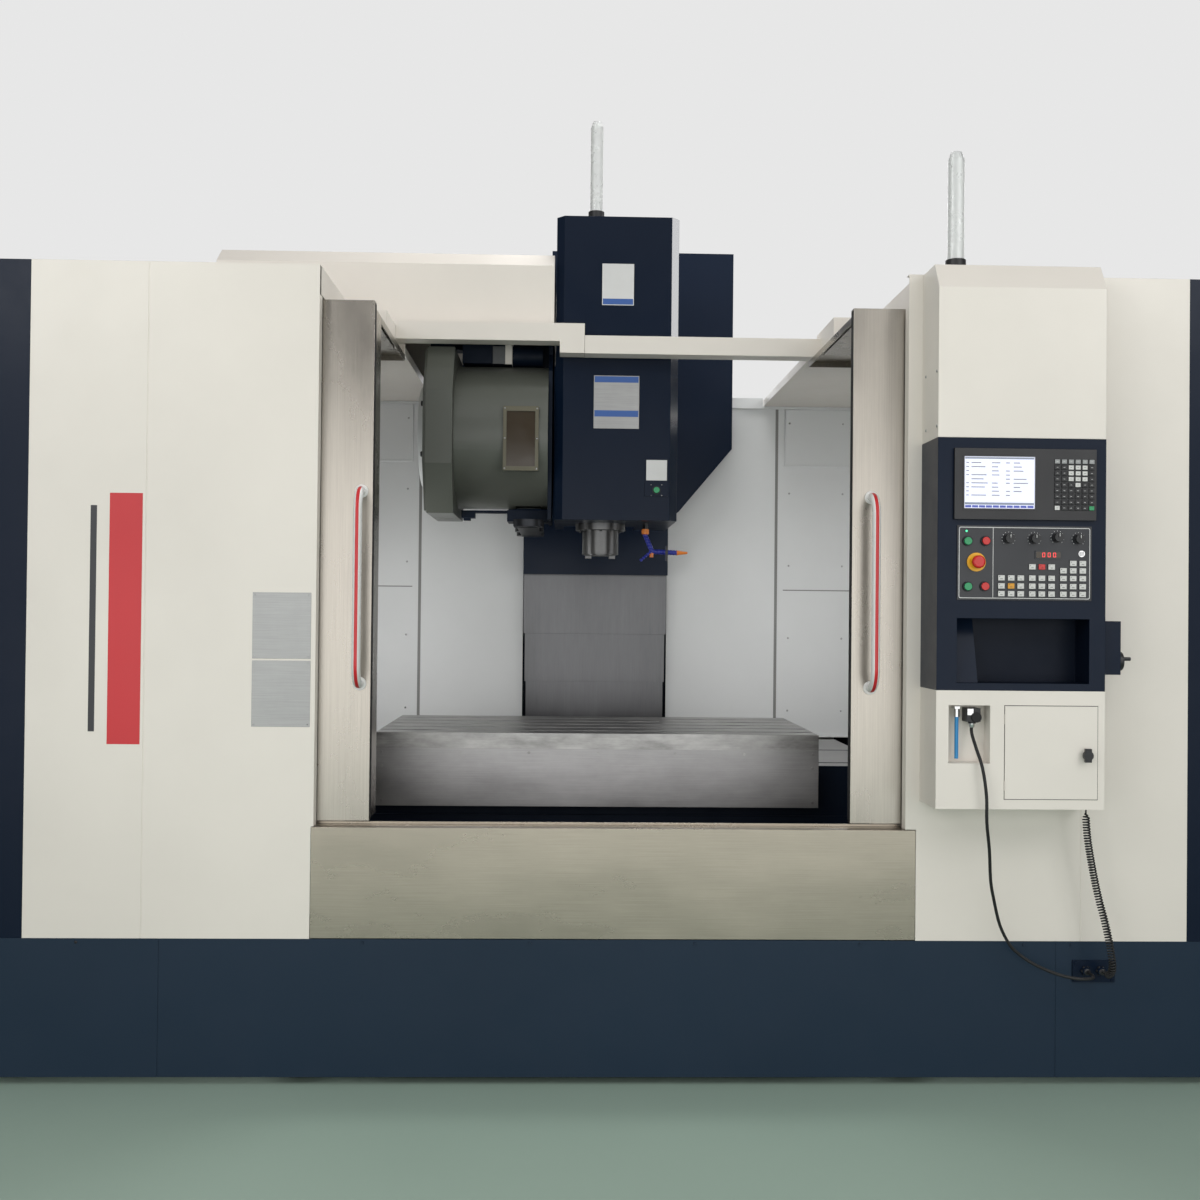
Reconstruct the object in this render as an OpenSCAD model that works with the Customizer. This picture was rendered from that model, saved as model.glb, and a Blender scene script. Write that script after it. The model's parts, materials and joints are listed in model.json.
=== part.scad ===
/* [Enclosure] */
// Overall width over the side covers
overall_w = 4100; // [4000:10:4300]
// Width of each side cover's front
side_w = 180; // [160:5:200]
// Distance of the front panels' plane from the origin
front_back = 1390; // [1385:1:1395]
// Height of the front panels' top edge
panel_top = 2622; // [2610:1:2640]
// Height of the skirt's top edge
skirt_top = 464; // [440:1:480]
// Gap under the skirt
skirt_gap = 25; // [15:1:40]
// Depth of the side covers
cover_d = 2300; // [2200:10:2400]
// Sheet metal thickness
sheet = 3; // [2:0.5:4]
// Left edge of the front opening
open_left = -955; // [-960:1:-950]
// Right edge of the front opening
open_right = 947; // [940:1:955]
// Seam between the left front sheets
left_seam = -1497; // [-1520:1:-1470]
// Seam between the right front sheets
right_seam = 1520; // [1500:1:1540]
// Depth of the groove at a seam
seam_depth = 1.5; // [1:0.1:2]

/* [Doors] */
// Centre line between the two doors
door_mid = -4; // [-6:1:-2]
// Distance of each open door's inner edge from that line
door_half = 783; // [778:1:788]
// Width of one door
door_w = 1000; // [960:1:1010]
// Height of the doors' lower edge
door_bottom = 832; // [830:1:840]
// Height of the doors' upper edge
door_top = 2522; // [2515:1:2530]
// Distance of the door's face behind the front panels
door_set = 55; // [50:1:60]
// Thickness of a door
door_t = 38; // [30:1:42]
// Depth of the door's roof return behind the front panels
return_d = 832; // [800:1:835]
// Height of the roof return's top
return_top = 2501; // [2495:1:2502]
// Height of the roof return's rim
return_rim = 24; // [18:1:28]
// Width of the door window
window_w = 520; // [400:10:600]
// Height of the door window
window_h = 700; // [500:10:800]
// Depth of the closing channel on the left door
channel_d = 145; // [120:1:150]

/* [Sill] */
// Height of the sill's top
sill_top = 820; // [810:1:824]
// Depth of the sill
sill_d = 125; // [115:1:130]
// Overhang of the sill past the opening on the left
sill_left = 8; // [5:1:12]
// Overhang of the sill past the opening on the right
sill_right = 34; // [28:1:38]

/* [Handles] */
// Diameter of the bow handle's tube
handle_dia = 28; // [24:1:34]
// Length of the straight grip
grip_len = 500; // [460:10:520]
// Distance of the grip's axis before the door's face
grip_out = 76; // [60:1:85]
// Distance of the handle from the door's inner edge
handle_in = 36; // [30:1:60]
// Height of the grip's middle
grip_mid = 1588; // [1560:1:1620]
// Bend radius of the bow's ends
bow_r = 62; // [45:1:70]

/* [Roof] */
// Inner edge of the side roofs from the door line
roof_half = 796; // [795:1:805]
// Front face of the cross beam behind the front panels
beam_front = 842; // [838:1:850]
// Depth of the cross beam
beam_d = 88; // [70:1:92]
// Height of the cross beam
beam_h = 70; // [60:1:74]
// Underside of the right half of the beam
right_beam_z = 2520; // [2510:1:2525]
// Underside of the left half of the beam
left_beam_z = 2566; // [2560:1:2572]
// Where the two halves of the beam meet
beam_joint = -94; // [-110:1:-80]
// Left edge of the magazine hood
hood_left = -1545; // [-1560:5:-1500]
// Right edge of the magazine hood
hood_right = -214; // [-220:1:-212]
// Top of the hood's front face
hood_face_top = 2888; // [2860:1:2900]
// Top of the hood
hood_top = 2950; // [2920:1:2980]
// Depth of the hood
hood_d = 800; // [700:10:820]

/* [Casting] */
// Offset of the column and the spindle from the enclosure's middle
col_x = -16; // [-20:1:-12]
// Distance of the spindle's axis behind the front panels
spindle_back = 1200; // [1190:1:1210]
// Height of the levelling feet
foot_h = 90; // [70:1:110]
// Height of the base casting's top
base_top = 600; // [580:1:620]
// Half width of the bed
bed_half = 620; // [580:5:680]
// Half width of the base
base_half = 1100; // [1000:10:1200]
// Front face of the column behind the front panels
column_front = 2120; // [2110:1:2130]
// Depth of the column at its foot
column_d = 740; // [700:5:760]
// Height of the column's top
column_top = 3080; // [3040:5:3100]
// Half width of the column at its foot
column_foot_half = 540; // [520:5:560]
// Half width of the column at its top
column_head_half = 430; // [400:5:450]
// Width of a linear rail
rail_w = 45; // [40:1:50]
// Height of a linear rail
rail_h = 40; // [36:1:44]
// Running clearance of moving parts
clear = 1; // [0.5:0.1:1.5]

/* [Table] */
// Length of the table
table_l = 1700; // [1680:10:1720]
// Depth of the table
table_w = 800; // [790:5:800]
// Height of the table's face
table_top = 1050; // [1048:1:1060]
// Thickness of the table
table_t = 125; // [115:1:126]
// Offset of the table along X at rest
table_shift = -11; // [-20:1:0]
// Number of T-slots
slot_n = 5; // [3:2:5]
// Distance between T-slots
slot_pitch = 145; // [120:1:150]
// Width of a T-slot
slot_w = 22; // [18:1:24]
// Height of the table's front edge band
band_h = 54; // [50:1:60]
// Height of the apron sheet below the band
apron_h = 226; // [200:1:230]
// Half length of the saddle
saddle_half = 1290; // [1260:5:1310]
// Front face of the saddle behind the front panels
saddle_front = 900; // [895:1:910]
// Depth of the saddle
saddle_d = 700; // [680:5:710]
// Underside of the saddle
saddle_bottom = 690; // [685:1:700]
// Diameter of the ball screws
screw_dia = 50; // [40:1:56]

/* [Head] */
// Height of the spindle nose's end
nose_z = 1738; // [1730:1:1750]
// Diameter of the spindle nose
nose_dia = 150; // [140:1:156]
// Diameter of the spindle flange
flange_dia = 206; // [196:1:210]
// Large diameter of the spindle's taper
taper_dia = 69.85; // [60:0.01:70]
// Underside of the head cover
head_bottom = 1881; // [1879:1:1884]
// Top of the head cover
head_top = 3088; // [3060:1:3100]
// Front face of the head cover behind the front panels
head_front = 950; // [946:1:960]
// Left edge of the head cover
head_left = -206; // [-207:1:-200]
// Right edge of the head cover
head_right = 282; // [270:1:290]
// Depth of the head cover
head_d = 620; // [560:10:640]
// Width of the chamfers beside the head cover's face
head_chamfer = 31; // [25:1:40]
// Half width of the shield behind the head
shield_half = 644; // [620:1:660]
// Top of the shield
shield_top = 3232; // [3200:1:3250]
// Height where the shield's slopes start
shield_slope_z = 2300; // [2250:1:2320]
// Lower edge of the shield's apron
shield_bottom = 1694; // [1690:1:1700]
// Front of the shield behind the front panels
shield_front = 1960; // [1955:1:1965]
// Half width of the first way cover
way_half = 341; // [338:1:345]
// Lower edge of the first way cover
way_1_bottom = 1412; // [1405:1:1420]
// Lower edge of the middle way cover
way_2_bottom = 1184; // [1180:1:1190]

/* [Magazine] */
// Height of the magazine's axis
mag_z = 2232; // [2225:1:2240]
// Radius of the drum
drum_r = 292; // [285:1:298]
// Half height of the ring at the drum's left end
ring_r = 330; // [325:1:335]
// Left end of the ring
ring_left = -722; // [-728:1:-718]
// Right end of the ring
ring_right = -606; // [-612:1:-602]
// Right end of the drum
drum_right = -234; // [-236:1:-230]
// Number of tool pots
pot_n = 24; // [20:2:24]
// Radius of the pots' circle
pot_circle = 232; // [225:1:236]
// Diameter of a pot
pot_dia = 52; // [46:1:54]
// Distance of the arm's axis from the spindle's axis
arm_reach = 294; // [290:1:298]
// Underside of the arm
arm_z = 1846; // [1842:1:1850]
// Thickness of the arm
arm_t = 30; // [26:1:32]

/* [Console] */
// Left side of the operator pod
pod_left = 992; // [985:1:1000]
// Width of the operator pod
pod_w = 528; // [520:1:535]
// Distance of the pod's face before the front panels
pod_out = 180; // [170:1:190]
// Underside of the pod
pod_bottom = 917; // [910:1:925]
// Lower edge of the console
console_z = 1284; // [1280:1:1290]
// Upper edge of the console
console_top = 2069; // [2060:1:2075]
// Height of the chamfer at the pod's top
pod_chamfer = 84; // [70:1:90]
// Depth of the open pocket
pocket_d = 110; // [90:1:120]
// Diameter of the emergency stop's head
stop_dia = 40; // [36:1:44]
// Diameter of a round push button
button_dia = 24; // [20:1:26]
// Diameter of a rotary knob
knob_dia = 28; // [24:1:30]
// Diameter of the hand wheel
wheel_dia = 60; // [54:1:64]

/* [Hidden] */
$fn = 48;

navy = [0.10, 0.13, 0.20];
white = [0.88, 0.87, 0.84];
steel = [0.55, 0.55, 0.53];
stainless = [0.66, 0.64, 0.60];
drum_grey = [0.42, 0.44, 0.42];
iron = [0.35, 0.35, 0.36];
black = [0.06, 0.06, 0.07];

front_y = -front_back;
cover_x = overall_w / 2;
panel_x = cover_x - side_w;
seam_w = 3;
fold = 30;
door_left_edge = door_mid - door_half;
door_right_edge = door_mid + door_half;
saddle_back = saddle_front + saddle_d;
table_x = col_x + table_shift;
table_front = spindle_back - table_w / 2;
table_bottom = table_top - table_t;
way_step = 4;
low_z = 2520;
high_d = 838;
rim_h = 34;
roof_end = cover_d - sheet;
wall_d = column_front - 70;
wall_bottom = 925;
wall_top = low_z;
wall_half = panel_x - 170;
rail_x_gap = 250;
column_z = 700;
pod_right = pod_left + pod_w;

// Y of a point at depth d behind the front panels' plane
function at(d) = front_y + d;

// Box between two X, two depths behind the front panels, and two heights
module block(x0, x1, d0, d1, z0, z1)
    translate([x0, at(d0), z0]) cube([x1 - x0, d1 - d0, z1 - z0]);

// Cylinder along X, between x0 and x1
module rod_x(x0, x1, d, z, dia)
    translate([x0, at(d), z]) rotate([0, 90, 0]) cylinder(h = x1 - x0, d = dia);

// Cylinder along Y, from depth d0 to depth d1
module rod_y(x, d0, d1, z, dia)
    translate([x, at(d1), z]) rotate([90, 0, 0]) cylinder(h = d1 - d0, d = dia);

// Cylinder along Z
module rod_z(x, d, z0, z1, dia)
    translate([x, at(d), z0]) cylinder(h = z1 - z0, d = dia);

// Profile in X and Z, extruded from depth d0 to depth d1
module slab_y(points, d0, d1)
    translate([0, at(d1), 0]) rotate([90, 0, 0])
        linear_extrude(d1 - d0) polygon(points);

// Profile in depth and Z, extruded from x0 to x1
module slab_x(points, x0, x1)
    translate([x0, front_y, 0]) rotate([90, 0, 90])
        linear_extrude(x1 - x0) polygon(points);

// Profile in X and depth, extruded from z0 to z1
module slab_z(points, z0, z1)
    translate([0, front_y, z0]) linear_extrude(z1 - z0) polygon(points);

// Washer-faced screw head standing on a face that looks to the front
module front_screw(x, d, z, dia = 14)
    rod_y(x, d - 4, d, z, dia);

// Slot along X with a T-shaped section, open at the top
module t_slot(d) {
    block(-cover_x, cover_x, d - slot_w / 2, d + slot_w / 2, table_top - 34, table_top + 1);
    block(-cover_x, cover_x, d - slot_w * 0.86, d + slot_w * 0.86, table_top - 36, table_top - 20);
}

// Rail carriage block with its groove, running along X
module carriage_x(x, d, z0, z1, rail_top)
    difference() {
        block(x - 60, x + 60, d - 50, d + 50, z0, z1);
        block(x - 61, x + 61, d - rail_w / 2 - clear, d + rail_w / 2 + clear, z0 - 1, rail_top + clear);
    }

// Rail carriage block with its groove, running along Y
module carriage_y(x, d, z0, z1, rail_top)
    difference() {
        block(x - 50, x + 50, d - 60, d + 60, z0, z1);
        block(x - rail_w / 2 - clear, x + rail_w / 2 + clear, d - 61, d + 61, z0 - 1, rail_top + clear);
    }

bed_d0 = 180;
bed_d1 = 1990;
foot_deck = 700;
deck_d = saddle_back + 410;
y_rail_x = 430;
y_rail_top = 665;
y_plate_z = 672;
plate_t = 6;
slit_w = 20;
web_t = 14;
y_screw_z = 545;
nut_dia = 90;
x_rail_front = spindle_back - 190;
x_rail_back = spindle_back + 290;
x_seat = 868;
x_rail_top = x_seat + rail_h;
x_plate_z = 914;
x_screw_z = 838;
x_screw_d = spindle_back + 50;
z_screw_d = column_front - 22;

module base_casting() color(iron) {
    difference() {
        union() {
            slab_y([
                [col_x - base_half, foot_h], [col_x + base_half, foot_h],
                [col_x + base_half, base_top - 240], [col_x + bed_half, base_top - 60],
                [col_x - bed_half, base_top - 60], [col_x - base_half, base_top - 240]
            ], bed_d0, bed_d1);
            block(col_x - bed_half, col_x + bed_half, bed_d0, bed_d1, base_top - 80, y_plate_z + plate_t);
            block(col_x - bed_half, col_x + bed_half, bed_d1 - 5, column_front + column_d, foot_h, y_plate_z);
            block(col_x - bed_half, col_x + bed_half, deck_d, column_front + column_d, foot_h, foot_deck);
        }
        block(col_x - bed_half + 20, col_x + bed_half - 20, bed_d0 + 20, bed_d1 - 20, base_top, y_plate_z);
        block(col_x - 120, col_x + 120, bed_d0 + 20, bed_d1 - 20, y_screw_z - 65, base_top + 1);
        for (x = [-y_rail_x, y_rail_x])
            block(col_x + x - slit_w / 2, col_x + x + slit_w / 2, bed_d0 + 60, bed_d1 - 15, y_plate_z - 1, y_plate_z + plate_t + 1);
        block(col_x - 20, col_x + 20, spindle_back - 420, spindle_back + 480, y_plate_z - 1, y_plate_z + plate_t + 1);
        block(col_x - 220, col_x + 220, bed_d1 + 160, column_front + column_d - 160, 300, foot_deck + 1);
    }
    for (x = [-y_rail_x, y_rail_x]) {
        block(col_x + x - 60, col_x + x + 60, bed_d0 + 20, bed_d1 - 20, base_top, y_rail_top - rail_h);
        block(col_x + x - rail_w / 2, col_x + x + rail_w / 2, 300, bed_d1 - 25, y_rail_top - rail_h, y_rail_top);
    }
    for (d = [440, bed_d1 - 60])
        difference() {
            block(col_x - 70, col_x + 70, d, d + 40, y_screw_z - 65, y_screw_z + 60);
            rod_y(col_x, d - 1, d + 41, y_screw_z, screw_dia * 0.7 + 1);
        }
    block(col_x - 65, col_x + 65, bed_d0 + 20, 436, y_screw_z - 65, y_screw_z + 65);
}

module levelling_feet() color(steel)
    for (p = [[-1000, 350], [1000, 350], [-1000, 1100], [1000, 1100], [-1000, 1850], [1000, 1850], [-520, 2650], [520, 2650]]) {
        rod_z(col_x + p[0], p[1], 0, 28, 140);
        rod_z(col_x + p[0], p[1], 28, foot_h, 36);
        translate([col_x + p[0], at(p[1]), foot_h - 26]) cylinder(h = 26, d = 64, $fn = 6);
    }

module column_casting() color(navy) {
    difference() {
        intersection() {
            slab_y([
                [col_x - column_foot_half, foot_deck], [col_x + column_foot_half, foot_deck],
                [col_x + column_head_half, column_top], [col_x - column_head_half, column_top]
            ], column_front, column_front + column_d);
            slab_x([
                [column_front, foot_deck], [column_front + column_d, foot_deck],
                [column_front + column_d - 140, column_top], [column_front, column_top]
            ], col_x - column_foot_half, col_x + column_foot_half);
        }
        block(col_x - 230, col_x + 230, column_front - 1, column_front + column_d + 1, foot_deck - 1, 1250);
        block(col_x - 90, col_x + 90, column_front - 1, column_front + 50, 1380, 3040);
        block(col_x - 260, col_x + 260, column_front + 150, column_front + column_d + 1, 1450, 1950);
        block(col_x - 240, col_x + 240, column_front + 150, column_front + column_d + 1, 2050, 2550);
    }
    for (x = [-rail_x_gap, rail_x_gap])
        block(col_x + x - rail_w / 2, col_x + x + rail_w / 2, column_front - rail_h, column_front, 1400, 3060);
    difference() {
        block(col_x - 60, col_x + 60, column_front - 58, column_front + 50, 1385, 1430);
        rod_z(col_x, z_screw_d, 1384, 1431, screw_dia * 0.7 + 1);
    }
    difference() {
        block(col_x - 110, col_x + 110, column_front - 95, column_front + 200, 3040, column_top + 16);
        rod_z(col_x, z_screw_d, 3039, 3070, screw_dia * 0.7 + 1);
    }
    block(col_x - 65, col_x + 65, z_screw_d - 65, z_screw_d + 65, column_top + 16, column_top + 250);
    block(col_x - 60, col_x + 60, z_screw_d - 60, z_screw_d + 60, column_top + 250, column_top + 300);
}

module front_skirt() color(navy) difference() {
    union() {
        block(-cover_x, cover_x, 0, sheet, skirt_gap, skirt_top);
        for (x = [-cover_x, cover_x - sheet])
            block(x, x + sheet, 0, cover_d, skirt_gap, skirt_top);
        block(-cover_x, cover_x, 0, fold, skirt_top - sheet, skirt_top);
        block(-cover_x, cover_x, 0, fold, skirt_gap, skirt_gap + sheet);
        for (x = [-796, -260, 269, 803, 1337, 1491])
            front_screw(x, 0, skirt_top - 12, 9);
        for (x = [-900, 900])
            block(x - 60, x + 60, sheet - 1, bed_d0, skirt_top - 90, skirt_top - 82);
    }
    for (x = [-1439, 1440])
        block(x - seam_w / 2, x + seam_w / 2, -1, seam_depth, skirt_gap - 1, skirt_top + 1);
}

module front_sill() color(stainless) {
    block(open_left - sill_left, open_right + sill_right, 0, sheet, skirt_top + 2, sill_top);
    block(open_left - sill_left, open_right + sill_right, 0, sill_d, sill_top - sheet, sill_top);
    block(open_left - sill_left, open_right + sill_right, sill_d - sheet, sill_d, 520, sill_top);
    block(open_left - sill_left, open_right + sill_right, door_set + 17, door_set + 23, sill_top - 1, sill_top + 8);
    for (x = [open_left - sill_left, open_right + sill_right - sheet])
        block(x, x + sheet, 0, sill_d, skirt_top + 2, sill_top);
}

// Front sheet with folded edges; edge is its inner side, dir points inward
module front_sheet(edge, outer, dir, sill_edge) difference() {
    union() {
        block(min(edge, outer), max(edge, outer), 0, sheet, skirt_top, panel_top);
        block(min(edge, edge - dir * sheet), max(edge, edge - dir * sheet), 0, 45, sill_top, panel_top - 95);
        block(min(edge, outer), max(edge, outer), 0, fold, panel_top - sheet, panel_top);
        block(min(outer, outer + dir * sheet), max(outer, outer + dir * sheet), 0, fold, skirt_top, panel_top);
    }
    block(min(edge + dir, sill_edge), max(edge + dir, sill_edge), -1, fold + 1, skirt_top - 1, sill_top + 2);
}

module left_front_panel() color(white) difference() {
    front_sheet(open_left, -panel_x, 1, open_left - sill_left - 1);
    block(left_seam - seam_w / 2, left_seam + seam_w / 2, -1, seam_depth, skirt_top - 1, panel_top + 1);
}

module right_front_panel() color(white) difference() {
    front_sheet(open_right, panel_x, -1, open_right + sill_right + 1);
    block(right_seam - seam_w / 2, right_seam + seam_w / 2, -1, seam_depth, skirt_top - 1, panel_top + 1);
}

// Side cover; s is -1 for the left side and 1 for the right side
module side_cover(s) color(navy) {
    block(min(s * panel_x, s * cover_x), max(s * panel_x, s * cover_x), 0, sheet, skirt_top, panel_top);
    block(min(s * (cover_x - sheet), s * cover_x), max(s * (cover_x - sheet), s * cover_x), 0, cover_d, skirt_top, panel_top);
    block(min(s * panel_x, s * cover_x), max(s * panel_x, s * cover_x), 0, cover_d, panel_top - sheet, panel_top);
    block(min(s * 1200, s * cover_x), max(s * 1200, s * cover_x), cover_d - sheet, cover_d, skirt_top, 2515);
    block(min(s * (panel_x - 40), s * cover_x), max(s * (panel_x - 40), s * cover_x), cover_d - sheet, cover_d, skirt_top, panel_top);
}

module left_side_cover() side_cover(-1);

module right_side_cover() side_cover(1);

// Side roof; s is -1 for the left side and 1 for the right side
module side_roof(s, fascia, inner) {
    outer = s * panel_x;
    block(min(outer, fascia), max(outer, fascia), fold, high_d, panel_top - sheet, panel_top);
    slab_x([
        [fold + 1, door_top + 8], [110, door_top + 8], [110, 2507],
        [800, 2507], [800, low_z + 2], [high_d, low_z + 2], [high_d, panel_top], [fold + 1, panel_top]
    ], min(fascia, fascia + s * sheet), max(fascia, fascia + s * sheet));
    block(min(outer, fascia), max(outer, fascia), high_d - sheet, high_d, low_z, panel_top);
    block(min(outer, inner), max(outer, inner), high_d, roof_end, low_z, low_z + sheet);
    block(min(outer, outer - s * sheet), max(outer, outer - s * sheet), high_d, roof_end, low_z, panel_top);
    block(min(inner, inner + s * sheet), max(inner, inner + s * sheet), beam_front + beam_d, roof_end, low_z, low_z + rim_h);
    block(min(fascia, s * 827), max(fascia, s * 827), 600, 919, 2530, 2619);
    block(min(fascia, s * 827), max(fascia, s * 827), high_d - sheet, 919, low_z, 2531);
}

module left_roof() color(white) {
    side_roof(-1, open_left, door_mid - roof_half);
    block(-862, beam_joint, beam_front, beam_front + beam_d, left_beam_z, left_beam_z + beam_h);
    block(beam_joint - 96, beam_joint, beam_front, beam_front + beam_d, right_beam_z + 1, left_beam_z + beam_h);
    difference() {
        slab_x([
            [head_front, low_z], [head_front, hood_face_top], [head_front + 80, hood_top],
            [head_front + hood_d, hood_top], [head_front + hood_d, low_z]
        ], hood_left, hood_right);
        slab_x([
            [head_front + sheet, low_z - 1], [head_front + sheet, hood_face_top - 2], [head_front + 82, hood_top - sheet],
            [head_front + hood_d - sheet, hood_top - sheet], [head_front + hood_d - sheet, low_z - 1]
        ], hood_left + sheet, hood_right - sheet);
        block(door_mid - roof_half - 1, 0, 0, cover_d, low_z - 1, 2640);
        block(-762, -698, 1700, 1800, 2658, 2762);
    }
}

module right_roof() color(white) {
    side_roof(1, open_right + 30, door_mid + roof_half);
    block(beam_joint + 1, 862, beam_front, beam_front + beam_d, right_beam_z, right_beam_z + beam_h);
}

module back_wall() color(white) {
    for (s = [-1, 1]) {
        difference() {
            union() {
                block(min(col_x + s * 345, s * wall_half), max(col_x + s * 345, s * wall_half), wall_d, wall_d + sheet, wall_bottom, wall_top);
                block(min(col_x + s * 345, s * wall_half), max(col_x + s * 345, s * wall_half), wall_d - fold, wall_d, wall_bottom, wall_bottom + sheet);
                block(min(col_x + s * 345, s * wall_half), max(col_x + s * 345, s * wall_half), wall_d - 14, wall_d, wall_top - 12, wall_top - 1);
                block(min(col_x + s * 345, s * 786), max(col_x + s * 345, s * 786), wall_d - 14, wall_d + sheet, wall_top - 12, wall_top + 38);
                block(min(s * wall_half, s * (wall_half - sheet)), max(s * wall_half, s * (wall_half - sheet)), 115, wall_d + sheet, wall_bottom, 2465);
            }
            block(min(s * 851, s * 865), max(s * 851, s * 865), wall_d - 1, wall_d + seam_depth, wall_bottom + 5, wall_top - 13);
            block(min(s * 893, s * 1500), max(s * 893, s * 1500), wall_d - 1, wall_d + seam_depth, 1629, 1634);
        }
        difference() {
            block(min(s * 895, s * 1246), max(s * 895, s * 1246), wall_d - 6, wall_d, 2229, 2512);
            block(min(s * 903, s * 1238), max(s * 903, s * 1238), wall_d - 7, wall_d + 1, 2237, 2504);
        }
        block(min(s * wall_half, s * (wall_half + 172)), max(s * wall_half, s * (wall_half + 172)), 110, 125, wall_bottom, 2465);
    }
}

module pod_upper_box() color(white)
    slab_x([
        [-pod_out, console_top], [-pod_out, panel_top - pod_chamfer], [-pod_out + 50, panel_top - 2],
        [0, panel_top - 2], [0, console_top]
    ], pod_left, pod_right);

pocket_l = pod_left + 63;
pocket_r = pod_left + 478;
pocket_z0 = 1307;
pocket_z1 = 1508;

module pod_console() color(navy) {
    difference() {
        block(pod_left, pod_right, -pod_out, 0, console_z, console_top);
        block(pocket_l, pocket_r, -pod_out - 1, -pod_out + pocket_d, pocket_z0, pocket_z1);
    }
    slab_x([
        [-pod_out + pocket_d + 1, pocket_z0], [-pod_out + 30, pocket_z0],
        [-pod_out + pocket_d - 20, pocket_z1], [-pod_out + pocket_d + 1, pocket_z1]
    ], pocket_l, pocket_l + 76);
    block(pod_right, pod_right + 62, -150, -40, 1335, 1503);
    for (z = [1478, 1440])
        rod_x(pod_right + 62, pod_right + 76, -95, z, 22);
}

recess_l = pod_left + 39;
recess_r = pod_left + 169;
recess_z0 = 1058;
recess_z1 = 1238;
plug_x = 1113;
plug_d = -150;
plug_z = 1180;

module pod_lower_box() color(white) {
    difference() {
        block(pod_left, pod_right, -pod_out, 0, pod_bottom, console_z);
        block(recess_l, recess_r, -pod_out - 1, -pod_out + 60, recess_z0, recess_z1);
        block(1205, 1499, -pod_out - 1, -pod_out + 2, 947, 1239);
        rod_y(1460, -pod_out - 1, -pod_out + 12, 1087, 20);
    }
    block(plug_x - 22, plug_x + 22, -pod_out + 12, -pod_out + 61, 1186, 1228);
    rod_z(plug_x, plug_d, plug_z, 1187, 24);
    rod_z(recess_l + 34, plug_d, 1070, 1205, 12);
    rod_z(recess_l + 34, plug_d, 1200, 1225, 18);
    block(recess_l + 26, recess_l + 42, plug_d - 8, -pod_out + 61, 1225, 1233);
}

module display_unit() color(black) difference() {
    union() {
        block(pod_left + 49, pod_left + 493, -pod_out - 12, -pod_out, 1814, 2035);
        for (i = [0:5], j = [0:8])
            block(1352 + i * 21.6, 1369 + i * 21.6, -pod_out - 15, -pod_out - 11, 1845 + j * 18, 1859 + j * 18);
    }
    block(1070, 1294, -pod_out - 13, -pod_out - 9, 1847, 2011);
}

panel_d = -pod_out - 4;
key_cols = [1190.5, 1221, 1251, 1287, 1317, 1347.5, 1384.5, 1415, 1445];

module operator_panel() color(black) {
    difference() {
        union() {
            block(pod_left + 61, pod_left + 482, panel_d, -pod_out, 1565, 1796);
            for (p = [[1084.5, 1747], [1141, 1748], [1085.5, 1606], [1139, 1607]])
                rod_y(p[0], panel_d - 5, panel_d, p[1], button_dia + 7);
            rod_y(1112, panel_d - 4, panel_d, 1682, 58);
        }
        for (p = [[1084.5, 1747], [1141, 1748], [1085.5, 1606], [1139, 1607]])
            rod_y(p[0], panel_d - 6, -pod_out + 1, p[1], button_dia + 0.6);
        rod_y(1112, panel_d - 5, -pod_out + 1, 1682, 24.6);
        rod_y(1442, panel_d - 1, -pod_out + 1, 1711, 13);
    }
    for (x = key_cols, z = [1585, 1609, 1634])
        block(x - 11, x + 11, panel_d - 3, panel_d, z - 9, z + 9);
    for (x = [1287, 1317, 1347.5])
        block(x - 11, x + 11, panel_d - 3, panel_d, 1660, 1678);
    for (x = [1384.5, 1415, 1445])
        block(x - 11, x + 11, panel_d - 3, panel_d, 1649, 1667);
    for (x = [1415, 1445])
        block(x - 11, x + 11, panel_d - 3, panel_d, 1672, 1690);
    block(1296, 1378, panel_d - 3, panel_d, 1694, 1719);
    rod_y(1081, panel_d - 2, panel_d, 1778, 8);
}

gland_1 = [1535.5, 371.5];
gland_2 = [1584.5, 371.5];

module gland_plate() color(navy) {
    block(1494, 1632, -6, 0, 334, 404);
    for (g = [gland_1, gland_2])
        rod_y(g[0], -24, -5, g[1], 28);
    for (x = [1503, 1623], z = [342, 396])
        front_screw(x, -6, z, 9);
}

// Unit tangent at point i of a route
function leg(p, i) =
    let (v = p[min(i + 1, len(p) - 1)] - p[max(i - 1, 0)]) v / norm(v);

// Ring of n points round point i of a route
function ring(p, i, r, n) =
    let (t = leg(p, i))
    let (side = cross(t, abs(t[0]) < 0.9 ? [1, 0, 0] : [0, 0, 1]))
    let (a = side / norm(side))
    let (b = cross(t, a))
    [for (k = [0:n - 1]) p[i] + r * (cos(360 * k / n) * a + sin(360 * k / n) * b)];

// Tube of diameter dia through the points of a route
module tube(p, dia, n = 10) {
    m = len(p);
    polyhedron(
        points = [for (i = [0:m - 1]) each ring(p, i, dia / 2, n)],
        faces = concat(
            [[for (k = [0:n - 1]) k]],
            [for (i = [0:m - 2], k = [0:n - 1])
                [i * n + k, (i + 1) * n + k, (i + 1) * n + (k + 1) % n, i * n + (k + 1) % n]],
            [[for (k = [n - 1:-1:0]) (m - 1) * n + k]]
        )
    );
}

// Point on a smooth curve through four neighbours
function mid(a, b, c, e, t) =
    0.5 * ((2 * b) + (c - a) * t + (2 * a - 5 * b + 4 * c - e) * t * t + (3 * b - a - 3 * c + e) * t * t * t);

// Route with steps points between each pair of hand-set points
function smooth(p, steps) = concat(
    [for (i = [0:len(p) - 2], s = [0:steps - 1])
        mid(p[max(i - 1, 0)], p[i], p[i + 1], p[min(i + 2, len(p) - 1)], s / steps)],
    [p[len(p) - 1]]
);

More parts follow.
